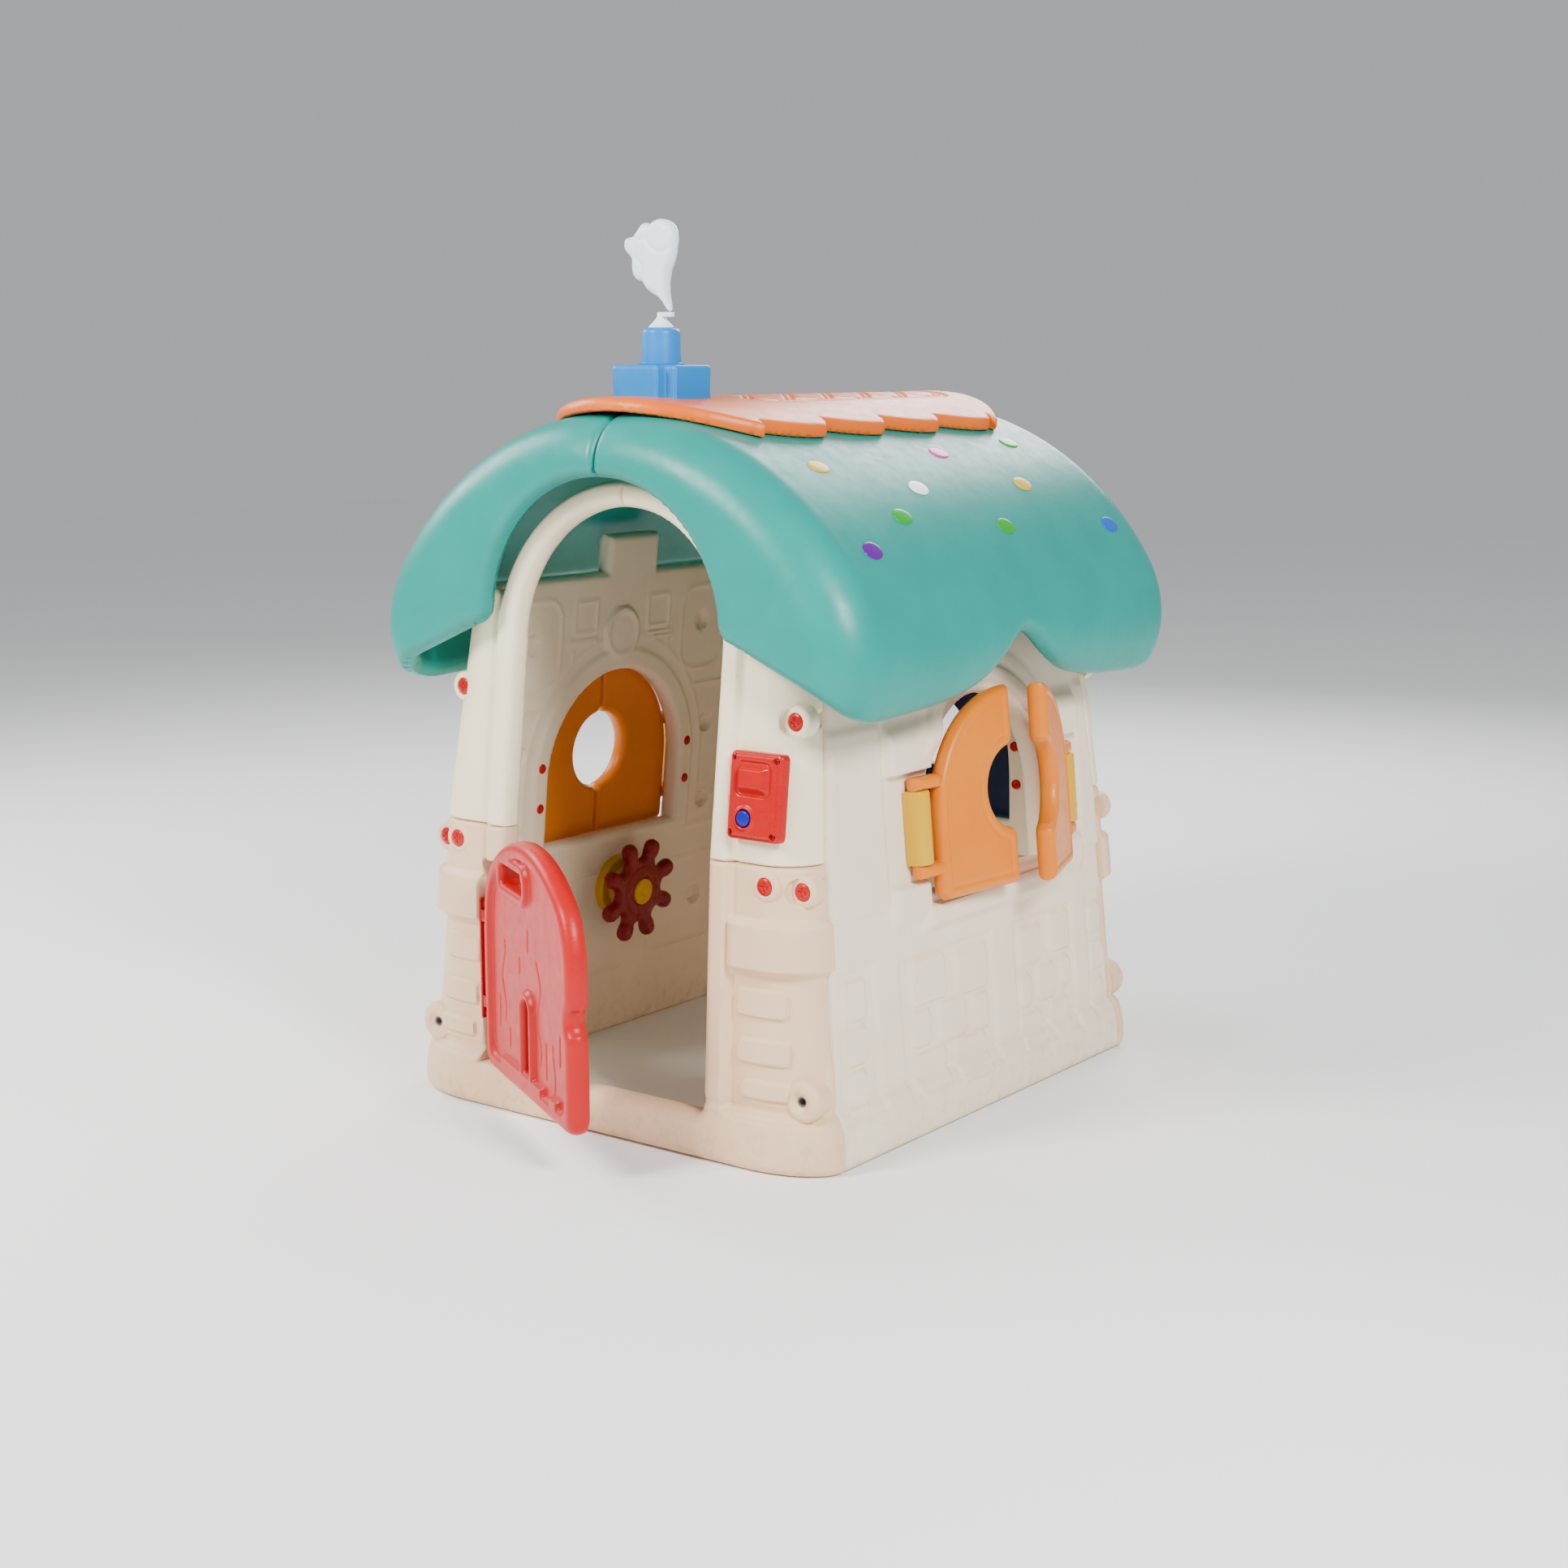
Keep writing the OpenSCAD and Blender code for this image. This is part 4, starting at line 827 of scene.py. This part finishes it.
smoke = moulding(
    "smoke_puff", np.arange(-78, 42, 2.0), np.arange(-2, 156, 2.0),
    lambda u, v: [(poly_in(u, v, puff), 13, 13)], puff_lobes, lambda u, v, d: -puff_lobes(u, v, d),
    lambda u, v, w: (u, CHIMNEY_Y - w, np.maximum(SMOKE_Z + v, SMOKE_Z)), 60,
)
white = moulded("moulded_pp_white", "#DCF2FC", "#E8F8FC", 0.32, ripple=0.05)
finish_piece(smoke, white, "house", "white_pp", "smoke_plume")
cone = lathe("smoke_socket_cone", [
    (0, 1350.5), (20, 1350.5), *arc(19.6, 1351.9, 1.4, -90, 30, 4), (12, 1361.5), (8.4, 1366),
    (6.6, 1369), (6.2, 1376), (0, 1376.2),
])
cone.data.transform(Matrix.Translation((0, CHIMNEY_Y * MM, 0)))
finish_piece(cone, white, "house", "white_pp", "smoke_socket")
stem_plan = fine(rounded([(-5, -6), (26, -6), (26, 6), (-5, 6)], 4, 4), 4)
stem = sweep("smoke_stem_foot", stem_plan, *edge_rings(1368.3, 1376.2, 1.5, 1.5))
stem.data.transform(Matrix.Translation((0, CHIMNEY_Y * MM, 0)))
finish_piece(stem, white, "house", "white_pp")

# ---------------------------------------------------------------- roof dots
# Oval PP buttons pressed into the roof like coloured sweets: each is a low dome 48 by
# 34 mm with a rounded rim, its long way along the ridge. Both roof halves carry nine.

DOME = (
    (0, -2.0), (0.96, -2.0), (1.0, 0.2), (0.985, 0.9), (0.93, 1.5), (0.75, 1.95), (0.4, 2.25), (0, 2.35),
)
for name, tone, pale, spots in (
    ("yellow", "#D8AE00", "#DCB408", ((-321, 32.0), (212, 40.0))),
    ("pink", "#DA009E", "#DE08A4", ((63, 30.0),)),
    ("white", "#F8FAFA", "#FCFCFC", ((-113, 39.0),)),
    ("green", "#009A10", "#069E18", ((-228, 45.0), (51, 49.0), (326, 28.0))),
    ("purple", "#590084", "#5E028A", ((-372, 51.0),)),
    ("blue", "#0052C0", "#0458C4", ((393, 51.0),)),
):
    sweet = moulded("pressed_pp_" + name, tone, pale, 0.26, ripple=0.0)
    for i, (y, deg) in enumerate(spots * 2):
        dome = lathe(f"roof_dot_{name}_{i + 1}", DOME, 56, 60)
        dome.data.transform(Matrix.Diagonal((17, 24, 1, 1)))
        turn, a = (-1 if i >= len(spots) else 1), math.radians(deg)
        out = (turn * math.sin(a), 0, math.cos(a))
        at = (turn * CROWN_R * math.sin(a), turn * y, CROWN_Z + CROWN_R * math.cos(a))
        settled(dome, at, (turn * math.cos(a), 0, -math.sin(a)), (0, turn, 0), out)
        finish_piece(dome, sweet, "house", "dot_" + name, *(["roof_dots_" + name] if i == 0 else []))

# ---------------------------------------------------------------- shutters
# Pairs of orange HDPE leaves, each half of a D with a half-round cut-out, rounded all
# round with a line pressed inside the outline. Two ears embrace the yellow barrel. The
# back window has the same pair in a very dark blue, which is their lighter blue with painted shade.

LEAF_T, LEAF_LOW, HOLE_R, HOLE_Z = 34.0, 394.0, 72.0, 565.0
HINGE_OFF, AXIS_OUT, BARREL_Z, BARREL_H, EAR_H = 242.0, 18.5, 526.0, 126.0, 22.0


def leaf_shape(y, z):
    """Distance inside the D, its free edge and its cut-out."""
    curve = LEAF_R - np.hypot(y, np.maximum(z - WIN_ARCH, 0))
    a, b = curve, z - LEAF_LOW
    corner = np.minimum(np.minimum(a, b), (a + b - 16) * 0.7071 + 3)
    return corner, -1.5 - y, np.hypot(y, z - HOLE_Z) - HOLE_R


def leaf_edges(y, z):
    curve, free, hole = leaf_shape(y, z)
    rise = (BARREL_H + EAR_H + 1) / 2
    ear = np.minimum(EAR_H / 2 - np.abs(np.abs(z - BARREL_Z) - rise), -196 - y)
    outline = np.maximum(curve, ear)
    r = np.where(curve > ear, 15.0, 8.0)
    a, b = free, hole
    soft = np.minimum(np.minimum(a, b), (a + b - 14) * 0.7071 + 3)
    return [(outline, r, r), (soft, 12, 12), (y + HINGE_OFF + LEAF_T / 2, 17, 17)]


def leaf_top(y, z, inside):
    inner = np.minimum.reduce(leaf_shape(y, z))
    return AXIS_OUT + LEAF_T / 2 - 2.4 * ridge(inner - 21, 2.8) - 1.4 * ease((inner - 21) / 4)


def back_place(x, y, z):
    """Point in the back window's frame (out, along, up the leaning wall)."""
    c, s = math.cos(UP_DEG), math.sin(UP_DEG)
    return -y, SEAM_HALF_D + x * c - (z - SEAM_Z) * s, SEAM_Z + x * s + (z - SEAM_Z) * c


def wall_frame(which, x, y, z):
    """Point given from a window's middle line, put on the right, left or back wall."""
    return back_place(x, y, z) if which == "back" else lean_place(x, y + WIN_Y, z, which == "left")


orange = moulded("rotomoulded_hdpe_orange", "#E07800", "#E47E04", 0.34, ripple=0.08)
# The back leaves' very dark blue is painted shade over their lighter blue.
back_blue_painted_shade = moulded("rotomoulded_hdpe_blue_painted_shade", "#002048", "#04264E", 0.34, ripple=0.08)
for name, which, side, deg, finish, slot in (
    ("right_front_shutter", "right", -1, 8, orange, "orange_hdpe"),
    ("right_rear_shutter", "right", 1, 21, orange, "orange_hdpe"),
    ("left_rear_shutter", "left", -1, 0, orange, "orange_hdpe"),
    ("left_front_shutter", "left", 1, 0, orange, "orange_hdpe"),
    ("back_right_shutter", "back", -1, 0, back_blue_painted_shade, "navy_hdpe"),
    ("back_left_shutter", "back", 1, 0, back_blue_painted_shade, "navy_hdpe"),
):
    def leaf_place(y, z, w, which=which, side=side, a=math.radians(deg)):
        dx, dy = w - AXIS_OUT, y + HINGE_OFF
        x = AXIS_OUT + dx * math.cos(a) + dy * math.sin(a)
        along = -HINGE_OFF - dx * math.sin(a) + dy * math.cos(a)
        return wall_frame(which, x, -side * along if side > 0 else along, z)

    leaf = moulding(
        name + "_leaf", np.linspace(-262, 0, 106), np.linspace(388, 748, 146), leaf_edges, leaf_top,
        lambda y, z, d: np.full(y.shape, AXIS_OUT - LEAF_T / 2), leaf_place,
    )
    finish_piece(leaf, finish, name, slot, name)

# ---------------------------------------------------------------- shutter hinges
# Each leaf swings on a steel pin in a yellow PP barrel, a fat rounded bar flat against
# the wall. Red PP buttons press through from inside to hold it.

yellow = moulded("moulded_pp_yellow", "#D6A400", "#DAA804", 0.28, ripple=0.04)
red = moulded("moulded_pp_red", "#B40004", "#BA0408", 0.26, ripple=0.03)
steel = bpy.data.materials.new("bright_steel")
steel.use_nodes = True
steel_look = steel.node_tree.nodes["Principled BSDF"]
steel_look.inputs["Metallic"].default_value = 1.0
steel_look.inputs["Base Color"].default_value = rgb("#B9BDC0")
steel_at = add(steel.node_tree, "ShaderNodeTexCoord").outputs["Object"]
steel_noise = add(steel.node_tree, "ShaderNodeTexNoise", [("Vector", steel_at)], Scale=300.0, Detail=3.0)
steel_rough = add(
    steel.node_tree, "ShaderNodeMapRange", [("Value", steel_noise.outputs["Fac"])], To_Min=0.2, To_Max=0.42
)
steel.node_tree.links.new(steel_rough.outputs["Result"], steel_look.inputs["Roughness"])


def screw_head(name, r, crown, cross, depth, n=48):
    """Domed round head, Z out: crown sqrt(1 - q²) high at q of the radius, with a cross
    recess where cross is its half width, and a skirt down to -depth."""
    q = np.array([0.12, 0.24, 0.36, 0.48, 0.58, 0.62, 0.7, 0.8, 0.88, 0.94, 0.98, 1.0])
    t = np.linspace(0, 2 * math.pi, n, endpoint=False)
    rho, ang = np.meshgrid(q * r, t, indexing="ij")
    x, y = rho * np.cos(ang), rho * np.sin(ang)
    z = crown * np.sqrt(np.maximum(1 - (rho / r) ** 2, 0))
    arm = ease((cross + 0.5 - np.minimum(np.abs(x), np.abs(y))) / 1.0) * ease((0.6 * r - rho) / 1.2)
    z = z - (2.6 * arm if cross else 0)
    m, hub = len(q), crown - (2.6 if cross else 0)
    skirt = np.stack([x[-1], y[-1], np.full(n, -depth)], 1)
    pts = np.concatenate([np.stack([x, y, z], 2).reshape(-1, 3), skirt, [[0, 0, hub], [0, 0, -depth]]])
    ring = np.arange((m + 1) * n).reshape(m + 1, n)
    k = np.roll(np.arange(n), -1)
    faces = [np.stack([a, b, b[k], a[k]], 1) for a, b in zip(ring[:-1], ring[1:])]
    top, low = np.full(n, (m + 1) * n), np.full(n, (m + 1) * n + 1)
    faces.append(np.stack([ring[0], ring[0][k], top, top], 1))
    faces.append(np.stack([ring[m][k], ring[m], low, low], 1))
    return write_mesh(name, pts, np.concatenate(faces), 36)


barrel_plan = rounded(
    [(0.4, -20.5), (19, -22), (34, -17), (40, 0), (34, 17), (19, 22), (0.4, 20.5)],
    [2.5, 12, 12, 18, 12, 12, 2.5], 7,
)
for i, (which, side) in enumerate((w, s) for w in ("right", "left", "back") for s in (-1, 1)):
    def barrel_place(p, which=which, side=side):
        along = p[:, 1] - HINGE_OFF
        return np.stack(wall_frame(which, p[:, 0], along if side < 0 else -along, p[:, 2]), 1)

    zs, ins = edge_rings(BARREL_Z - BARREL_H / 2, BARREL_Z + BARREL_H / 2, 4, 4)
    clip = sweep(f"hinge_barrel_{i + 1}", fine(barrel_plan, 3), zs, ins, barrel_place, 36)
    finish_piece(clip, yellow, "house", "yellow_pp", *(["shutter_hinge_clips"] if i == 0 else []))
    for up in (-1, 1):
        button = screw_head(f"hinge_button_{i + 1}_{'low' if up < 0 else 'high'}", 9.5, 5.0, 0, 3.5, 36)
        at = wall_frame(which, -WALL_T - 4.2, side * 212.0, BARREL_Z + up * 38.0)
        off = wall_frame(which, -WALL_T - 5.2, side * 212.0, BARREL_Z + up * 38.0)
        high = wall_frame(which, -WALL_T - 4.2, side * 212.0, BARREL_Z + up * 38.0 + 1)
        z, y = np.subtract(off, at), np.subtract(high, at)
        settled(button, at, np.cross(y, z), y, z)
        finish_piece(button, red, "house", "red_pp", *(["shutter_hinge_screws"] if i + up == -1 else []))
for node in ("shutter_hinge_pins", "wheel_axle", "door_hinge_pin", "bell_spring"):
    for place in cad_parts[node].material_slots:
        place.material = steel

# ---------------------------------------------------------------- door
# A red HDPE half door with a fat rounded rim round a sunk field, a hand slot near its
# arched top and a small arched gap low down. Wavy lines and short strokes are pressed
# into the field. It turns on a steel pin held by a red bracket sunk in the jamb.

DOOR_T, DOOR_LOW, DOOR_TOP, DOOR_LO, DOOR_HI = 39.0, 80.0, 514.0, -246.0, 218.0
DOOR_MID, PIN_X, PIN_Y, DOOR_DEG = -14.0, -260.0, -513.5, 30.0


def least_soft(a, b, k):
    """Smooth least of two distances: min(a, b) - k h² / 4 with h = 1 - |a - b| / k."""
    h = np.clip(1 - np.abs(a - b) / k, 0, 1)
    return np.minimum(a, b) - h * h * k / 4


def door_shape(x, z):
    arch = 310 - np.hypot(x - DOOR_MID, z - (DOOR_TOP - 310))
    sides = np.minimum(x - DOOR_LO, DOOR_HI - x)
    low = least_soft(sides, z - DOOR_LOW, 26)
    dent = np.hypot(x - DOOR_HI - 13, z - 268) - 24
    return least_soft(np.minimum(least_soft(low, arch, 46), dent), dent, 12)


def slot_out(x, z):
    return -rect_in(x, z, DOOR_MID - 66, 442, 60, 17, 9)


def gap_out(x, z):
    a, b = np.hypot(x - DOOR_MID, np.maximum(z - 233, 0)) - 17, 125 - z
    return np.where((a > 0) & (b > 0), np.hypot(a, b), np.maximum(a, b))


def door_edges(x, z):
    hinge = x - DOOR_LO
    return [(door_shape(x, z), 17, 15), (hinge, 19, 19), (slot_out(x, z), 8, 8), (gap_out(x, z), 8, 8)]


STROKES = ((-176, 196, 26), (-120, 160, 15), (78, 170, 30), (150, 205, 24), (-60, 300, 13), (-14, 352, 17))


def door_top(x, z, inside):
    """Outer skin: sunk field, raised lips round the slot and the gap, a ledge, grooves."""
    field = ease((door_shape(x, z) - 25) / 9)
    field = field * ease((slot_out(x, z) - 15) / 8) * ease((gap_out(x, z) - 12) / 7)
    ledge = ease(rect_in(x, z, -2, 113, 152, 11, 7) / 5) * ease(rect_in(x, z, 90, 113, 20, 30, 3) * -1 / 4)
    lines = 0.0
    for cx, tall, low, wave in ((-150, 150, 180, 9), (40, 180, 150, 11), (118, 90, 120, 5)):
        on = ease((z - low) / 6) * ease((low + tall - z) / 6)
        lines = lines + on * ridge(x - cx - wave * np.sin((z - low) / 17.0), 2.3)
    for sx, sz, hz in STROKES:
        lines = lines + ridge(np.hypot(x - sx, np.maximum(np.abs(z - sz) - hz, 0)), 2.4)
    return DOOR_T / 2 - 9.0 * field * (1 - ledge) - 2.4 * np.clip(lines, 0, 1) * field


def door_back(x, z, inside):
    field = ease((door_shape(x, z) - 32) / 8)
    field = field * ease((slot_out(x, z) - 18) / 8) * ease((gap_out(x, z) - 14) / 7)
    ribs = sum(ease(rect_in(x, z, cx, 268, 13, 96, 12) / 5) for cx in (-170, -92, 66, 144))
    return -DOOR_T / 2 + 4.0 * field * (1 - ribs)


def door_swing(x, y, z):
    c, s = math.cos(math.radians(DOOR_DEG)), math.sin(math.radians(DOOR_DEG))
    return PIN_X + (x - PIN_X) * c + (y - PIN_Y) * s, PIN_Y - (x - PIN_X) * s + (y - PIN_Y) * c, z


scarlet = moulded("blow_moulded_hdpe_red", "#B80006", "#BE040A", 0.36, ripple=0.08)
door = moulding(
    "half_door", np.linspace(DOOR_LO, DOOR_HI, 190), np.linspace(DOOR_LOW, DOOR_TOP, 178),
    door_edges, door_top, door_back,
    lambda x, z, w: door_swing(x, PIN_Y - w, z),
)
finish_piece(door, scarlet, "door", "red_hdpe", "door")
turn = np.radians(np.linspace(48, 312, 22))
knuckle = np.c_[12 * np.cos(turn), 12 * np.sin(turn)]
lug = np.concatenate([knuckle, [(20, -8.9), (30, -8.9), (30, 8.9), (20, 8.9)]])
fixed_lug = np.concatenate([knuckle * [-1, 1], [(-13, -8.9), (-15, -8.9), (-15, 8.9), (-13, 8.9)]])


def pinned(p, swing):
    x, y, z = p[:, 0] + PIN_X, p[:, 1] + PIN_Y, p[:, 2]
    return np.stack(door_swing(x, y, z) if swing else (x, y, z), 1)


sleeve = sweep("door_knuckle", lug, *edge_rings(198.5, 329.5, 2, 2), lambda p: pinned(p, True), 36)
finish_piece(sleeve, scarlet, "door", "red_hdpe")
for name, low, high in (("door_lug_low", 176, 198), ("door_lug_high", 330, 352)):
    ear = sweep(name, fixed_lug, *edge_rings(low, high, 2, 2), lambda p: pinned(p, False), 36)
    finish_piece(ear, red, "house", "red_pp", *(["door_hinge_bracket"] if low == 176 else []))
strip_plan = fine(rounded([(-17.7, -10), (-13.7, -10), (-13.7, 20), (-17.7, 20)], 1, 3), 6)
strip_rings = edge_rings(156, 372, 1.5, 1.5)
strip = sweep("door_hinge_strip", strip_plan, *strip_rings, lambda p: pinned(p, False), 36)
finish_piece(strip, red, "house", "red_pp")
for name, z in (("door_strip_screw_low", 166.0), ("door_strip_screw_high", 362.0)):
    head = screw_head(name, 7.8, 3.0, 1.2, 1.0, 36)
    settled(head, (-273.2, PIN_Y + 3, z), (0, 1, 0), (0, 0, 1), (1, 0, 0))
    finish_piece(head, red, "house", "red_pp", *(["door_hinge_screws"] if z < 200 else []))

# ---------------------------------------------------------------- panel screws
# Fat red PP screws 30 mm across with a cross recess, sunk in round bosses: two at each
# corner below the seam and one above it, on the front and the back.

for turned in (1, -1):
    for side in (1, -1):
        where = ("front" if turned > 0 else "back") + ("_right" if side > 0 else "_left")
        for label, (x, z), out in zip("abc", (*POST_SCREWS, ARCH_SCREW), (1.4, 1.4, 1.8)):
            name = f"panel_screw_{where}_{label}"
            head = on_post(screw_head(name, 14.8, 4.2, 2.0, 8), (x, z), out, turned, side)
            first = turned > 0 and side > 0 and label == "a"
            finish_piece(head, red, "house", "red_pp", *(["panel_screws"] if first else []))

# ---------------------------------------------------------------- steering wheel
# A dark red PP wheel with eight round knobs on the left wall's inside, a yellow cap in
# its middle and a round yellow foot behind it.

WHEEL_STAND, WHEEL_T, KNOB_AT = 58.0, 24.0, 86.5
wheel_c, wheel_s = math.cos(SIDE_DEG), math.sin(SIDE_DEG)
wheel_at = lean_place(-WALL_T, 30.0, 302.0, True)
wheel_axes = ((wheel_s, 0, wheel_c), (0, -1, 0), (wheel_c, 0, -wheel_s))


def wheel_shape(u, v):
    """Hub and the nearest of eight arms, each a bar with a round end, blended softly."""
    rho, ang = np.hypot(u, v), np.arctan2(v, u)
    a = np.mod(ang, math.pi / 4) - math.pi / 8
    x, y = rho * np.cos(a), rho * np.sin(a)
    arm = 13.5 + 3 * ease((x - 66) / 14) - np.hypot(x - np.clip(x, 0, KNOB_AT), y)
    return -least_soft(-(62 - rho), -arm, 18)


def wheel_face(u, v, inside):
    rho = np.hypot(u, v)
    knob = ease((22 - np.abs(rho - KNOB_AT)) / 12)
    return WHEEL_T / 2 - 2.6 * (1 - knob) * ease((rho - 44) / 8) - 6.2 * ease((27 - rho) / 1.6)


def wheel_place(u, v, w):
    p = np.stack([u, v, w + WHEEL_STAND])
    m = np.array(wheel_axes)
    return tuple(wheel_at[i] + m[0][i] * p[0] + m[1][i] * p[1] + m[2][i] * p[2] for i in range(3))


crimson = moulded("moulded_pp_dark_red", "#82000A", "#88020E", 0.28, ripple=0.03)
wheel = moulding(
    "steering_wheel_rim", np.arange(-104, 105, 2.2), np.arange(-104, 105, 2.2),
    lambda u, v: [(wheel_shape(u, v), 10.5, 10.5)],
    wheel_face, lambda u, v, d: np.full(u.shape, -WHEEL_T / 2), wheel_place, 40,
)
finish_piece(wheel, crimson, "wheel", "dark_red_pp", "steering_wheel")
cap_z = WHEEL_STAND + WHEEL_T / 2
disc = lathe("wheel_cap", [
    (0, cap_z - 5.6), (25.4, cap_z - 5.6), (25.6, cap_z + 0.8), *arc(23.2, cap_z + 0.9, 2.4, 0, 90, 5),
    (9, cap_z + 3.2), (7.5, cap_z + 1.8), (0, cap_z + 1.4),
])
settled(disc, wheel_at, *wheel_axes)
finish_piece(disc, yellow, "wheel", "yellow_pp", "wheel_hub_cap")
foot = lathe("wheel_foot", [
    (0, 0.4), (59, 0.4), *arc(55.5, 13.5, 4.5, 0, 90, 6), (44, 18.2), (40, 19), (31, 33),
    (24.2, 45.4), (0, 45.4),
])
settled(foot, wheel_at, *wheel_axes)
finish_piece(foot, yellow, "house", "yellow_pp", "wheel_base")

# ---------------------------------------------------------------- doorbell
# A glossy red PP case screwed to the front: a flange, a raised hood for the sounder, a
# ring round a blue push button and four small screws in sunk corners.

BELL_W, BELL_H, BELL_D, BUTTON_R = 104.0, 142.0, 26.0, 13.0
BUTTON_U, BUTTON_V = -14.0, -36.0
bell_c, bell_s = math.cos(UP_DEG), math.sin(UP_DEG)
bell_at = (321.0, -SEAM_HALF_D - 0.3 * bell_c + 112 * bell_s, SEAM_Z + 0.3 * bell_s + 112 * bell_c)
bell_axes = ((1, 0, 0), (0, bell_s, bell_c), (0, -bell_c, bell_s))


def bell_top(u, v, inside):
    """Stepped case with a rounded hood, a ring, a button well and corner screw wells."""
    rho = np.hypot(u - BUTTON_U, v - BUTTON_V)
    lift = BELL_D - 6 + 6 * ease((inside - 5) / 3.5)
    hood = rect_in(u, v, -1, 28, 29, 22, 7)
    lift = lift + 9 * ease(hood / 9) - 3.5 * ridge(hood + 3, 3)
    lift = lift + 3.0 * ridge(rho - BUTTON_R - 4, 3.2)
    lift = lift - 20 * ease((BUTTON_R + 1.6 - rho) / 0.8)
    for su in (-1, 1):
        for sv in (-1, 1):
            lift = lift - 7 * ease((5.2 - np.hypot(u - su * 41, v - sv * 60)) / 1.4)
    return lift


def bell_place(u, v, w):
    along, up, out = bell_axes
    return tuple(bell_at[i] + along[i] * u + up[i] * v + out[i] * w for i in range(3))


case = moulding(
    "doorbell_case", np.linspace(-BELL_W / 2, BELL_W / 2, 92), np.linspace(-BELL_H / 2, BELL_H / 2, 124),
    lambda u, v: [(rect_in(u, v, 0, 0, BELL_W / 2, BELL_H / 2, 9), 5, 0.6)],
    bell_top, lambda u, v, d: np.zeros(u.shape), bell_place, 40,
)
finish_piece(case, red, "house", "red_pp", "bell_case")
blue = moulded("moulded_pp_button_blue", "#0C009A", "#1004A0", 0.22, ripple=0.0)
push = lathe("doorbell_button", [
    (0, 22), (12.4, 22), (12.8, 27), *arc(10.2, 27.6, 2.6, 0, 80, 6), (6, 30.7), (0, 31),
])
settled(push, bell_place(BUTTON_U, BUTTON_V, 0), *bell_axes)
finish_piece(push, blue, "bell_button", "button_blue", "bell_button")
for i, (u, v) in enumerate(((41, 60), (-41, 60), (-41, -60), (41, -60))):
    head = screw_head(f"doorbell_screw_{i + 1}", 4.0, 1.4, 0.7, 2.0, 32)
    settled(head, bell_place(u, v, 21.0), *bell_axes)
    finish_piece(head, crimson, "house", "red_pp", *(["bell_screws"] if i == 0 else []))

# ---------------------------------------------------------------- floor, light, camera
# A plain pale sweep under soft studio light: one lamp rakes the front from its left, one
# rakes the window wall from its front, and two softer ones stand at the left and behind.


def area(name, where, at, size, watts, tint):
    """Soft square lamp that faces a point; size and places in metres."""
    lamp = bpy.data.lights.new(name, "AREA")
    lamp.shape, lamp.size, lamp.energy, lamp.color = "SQUARE", size, watts, tint
    obj = bpy.data.objects.new(name, lamp)
    obj.location = where
    obj.rotation_euler = (Vector(at) - Vector(where)).to_track_quat("-Z", "Y").to_euler()
    bpy.context.collection.objects.link(obj)


area("key_light", (-1.3, -3.8, 3.3), (0, 0, 0.6), 1.3, 250.0, (1.0, 0.985, 0.96))
area("side_light", (3.7, -1.9, 3.2), (0, 0, 0.5), 1.1, 260.0, (0.98, 0.99, 1.0))
area("left_light", (-3.8, -0.6, 2.8), (0, 0, 0.8), 1.8, 120.0, (1.0, 1.0, 1.0))
area("back_light", (-1.2, 3.8, 3.0), (0, 0, 0.7), 2.0, 130.0, (1.0, 1.0, 1.0))
world = bpy.data.worlds.new("studio")
bpy.context.scene.world = world
world.use_nodes = True
sky_light = world.node_tree.nodes["Background"]
sky_light.inputs["Color"].default_value = (0.93, 0.95, 0.97, 1.0)
sky_light.inputs["Strength"].default_value = 0.48

sheet = bpy.data.meshes.new("floor")
side = 14.0
corners = [(-side, -side, 0), (side, -side, 0), (side, side, 0), (-side, side, 0)]
sheet.from_pydata(corners, [], [(0, 1, 2, 3)])
floor = bpy.data.objects.new("floor", sheet)
bpy.context.collection.objects.link(floor)
paper = bpy.data.materials.new("white_paper_sweep")
paper.use_nodes = True
paper_look = paper.node_tree.nodes["Principled BSDF"]
paper_look.inputs["Base Color"].default_value = rgb("#FAFAFA")
paper_look.inputs["Roughness"].default_value = 0.9
floor.data.materials.append(paper)

camera = bpy.data.cameras.new("camera")
camera.lens, camera.sensor_width = 55.38, 36.0
eye = bpy.data.objects.new("camera", camera)
eye.location = (2.596, -3.5157, 1.3)
eye.rotation_euler = (math.radians(80), 0, math.radians(36.46))
bpy.context.collection.objects.link(eye)
bpy.context.scene.camera = eye
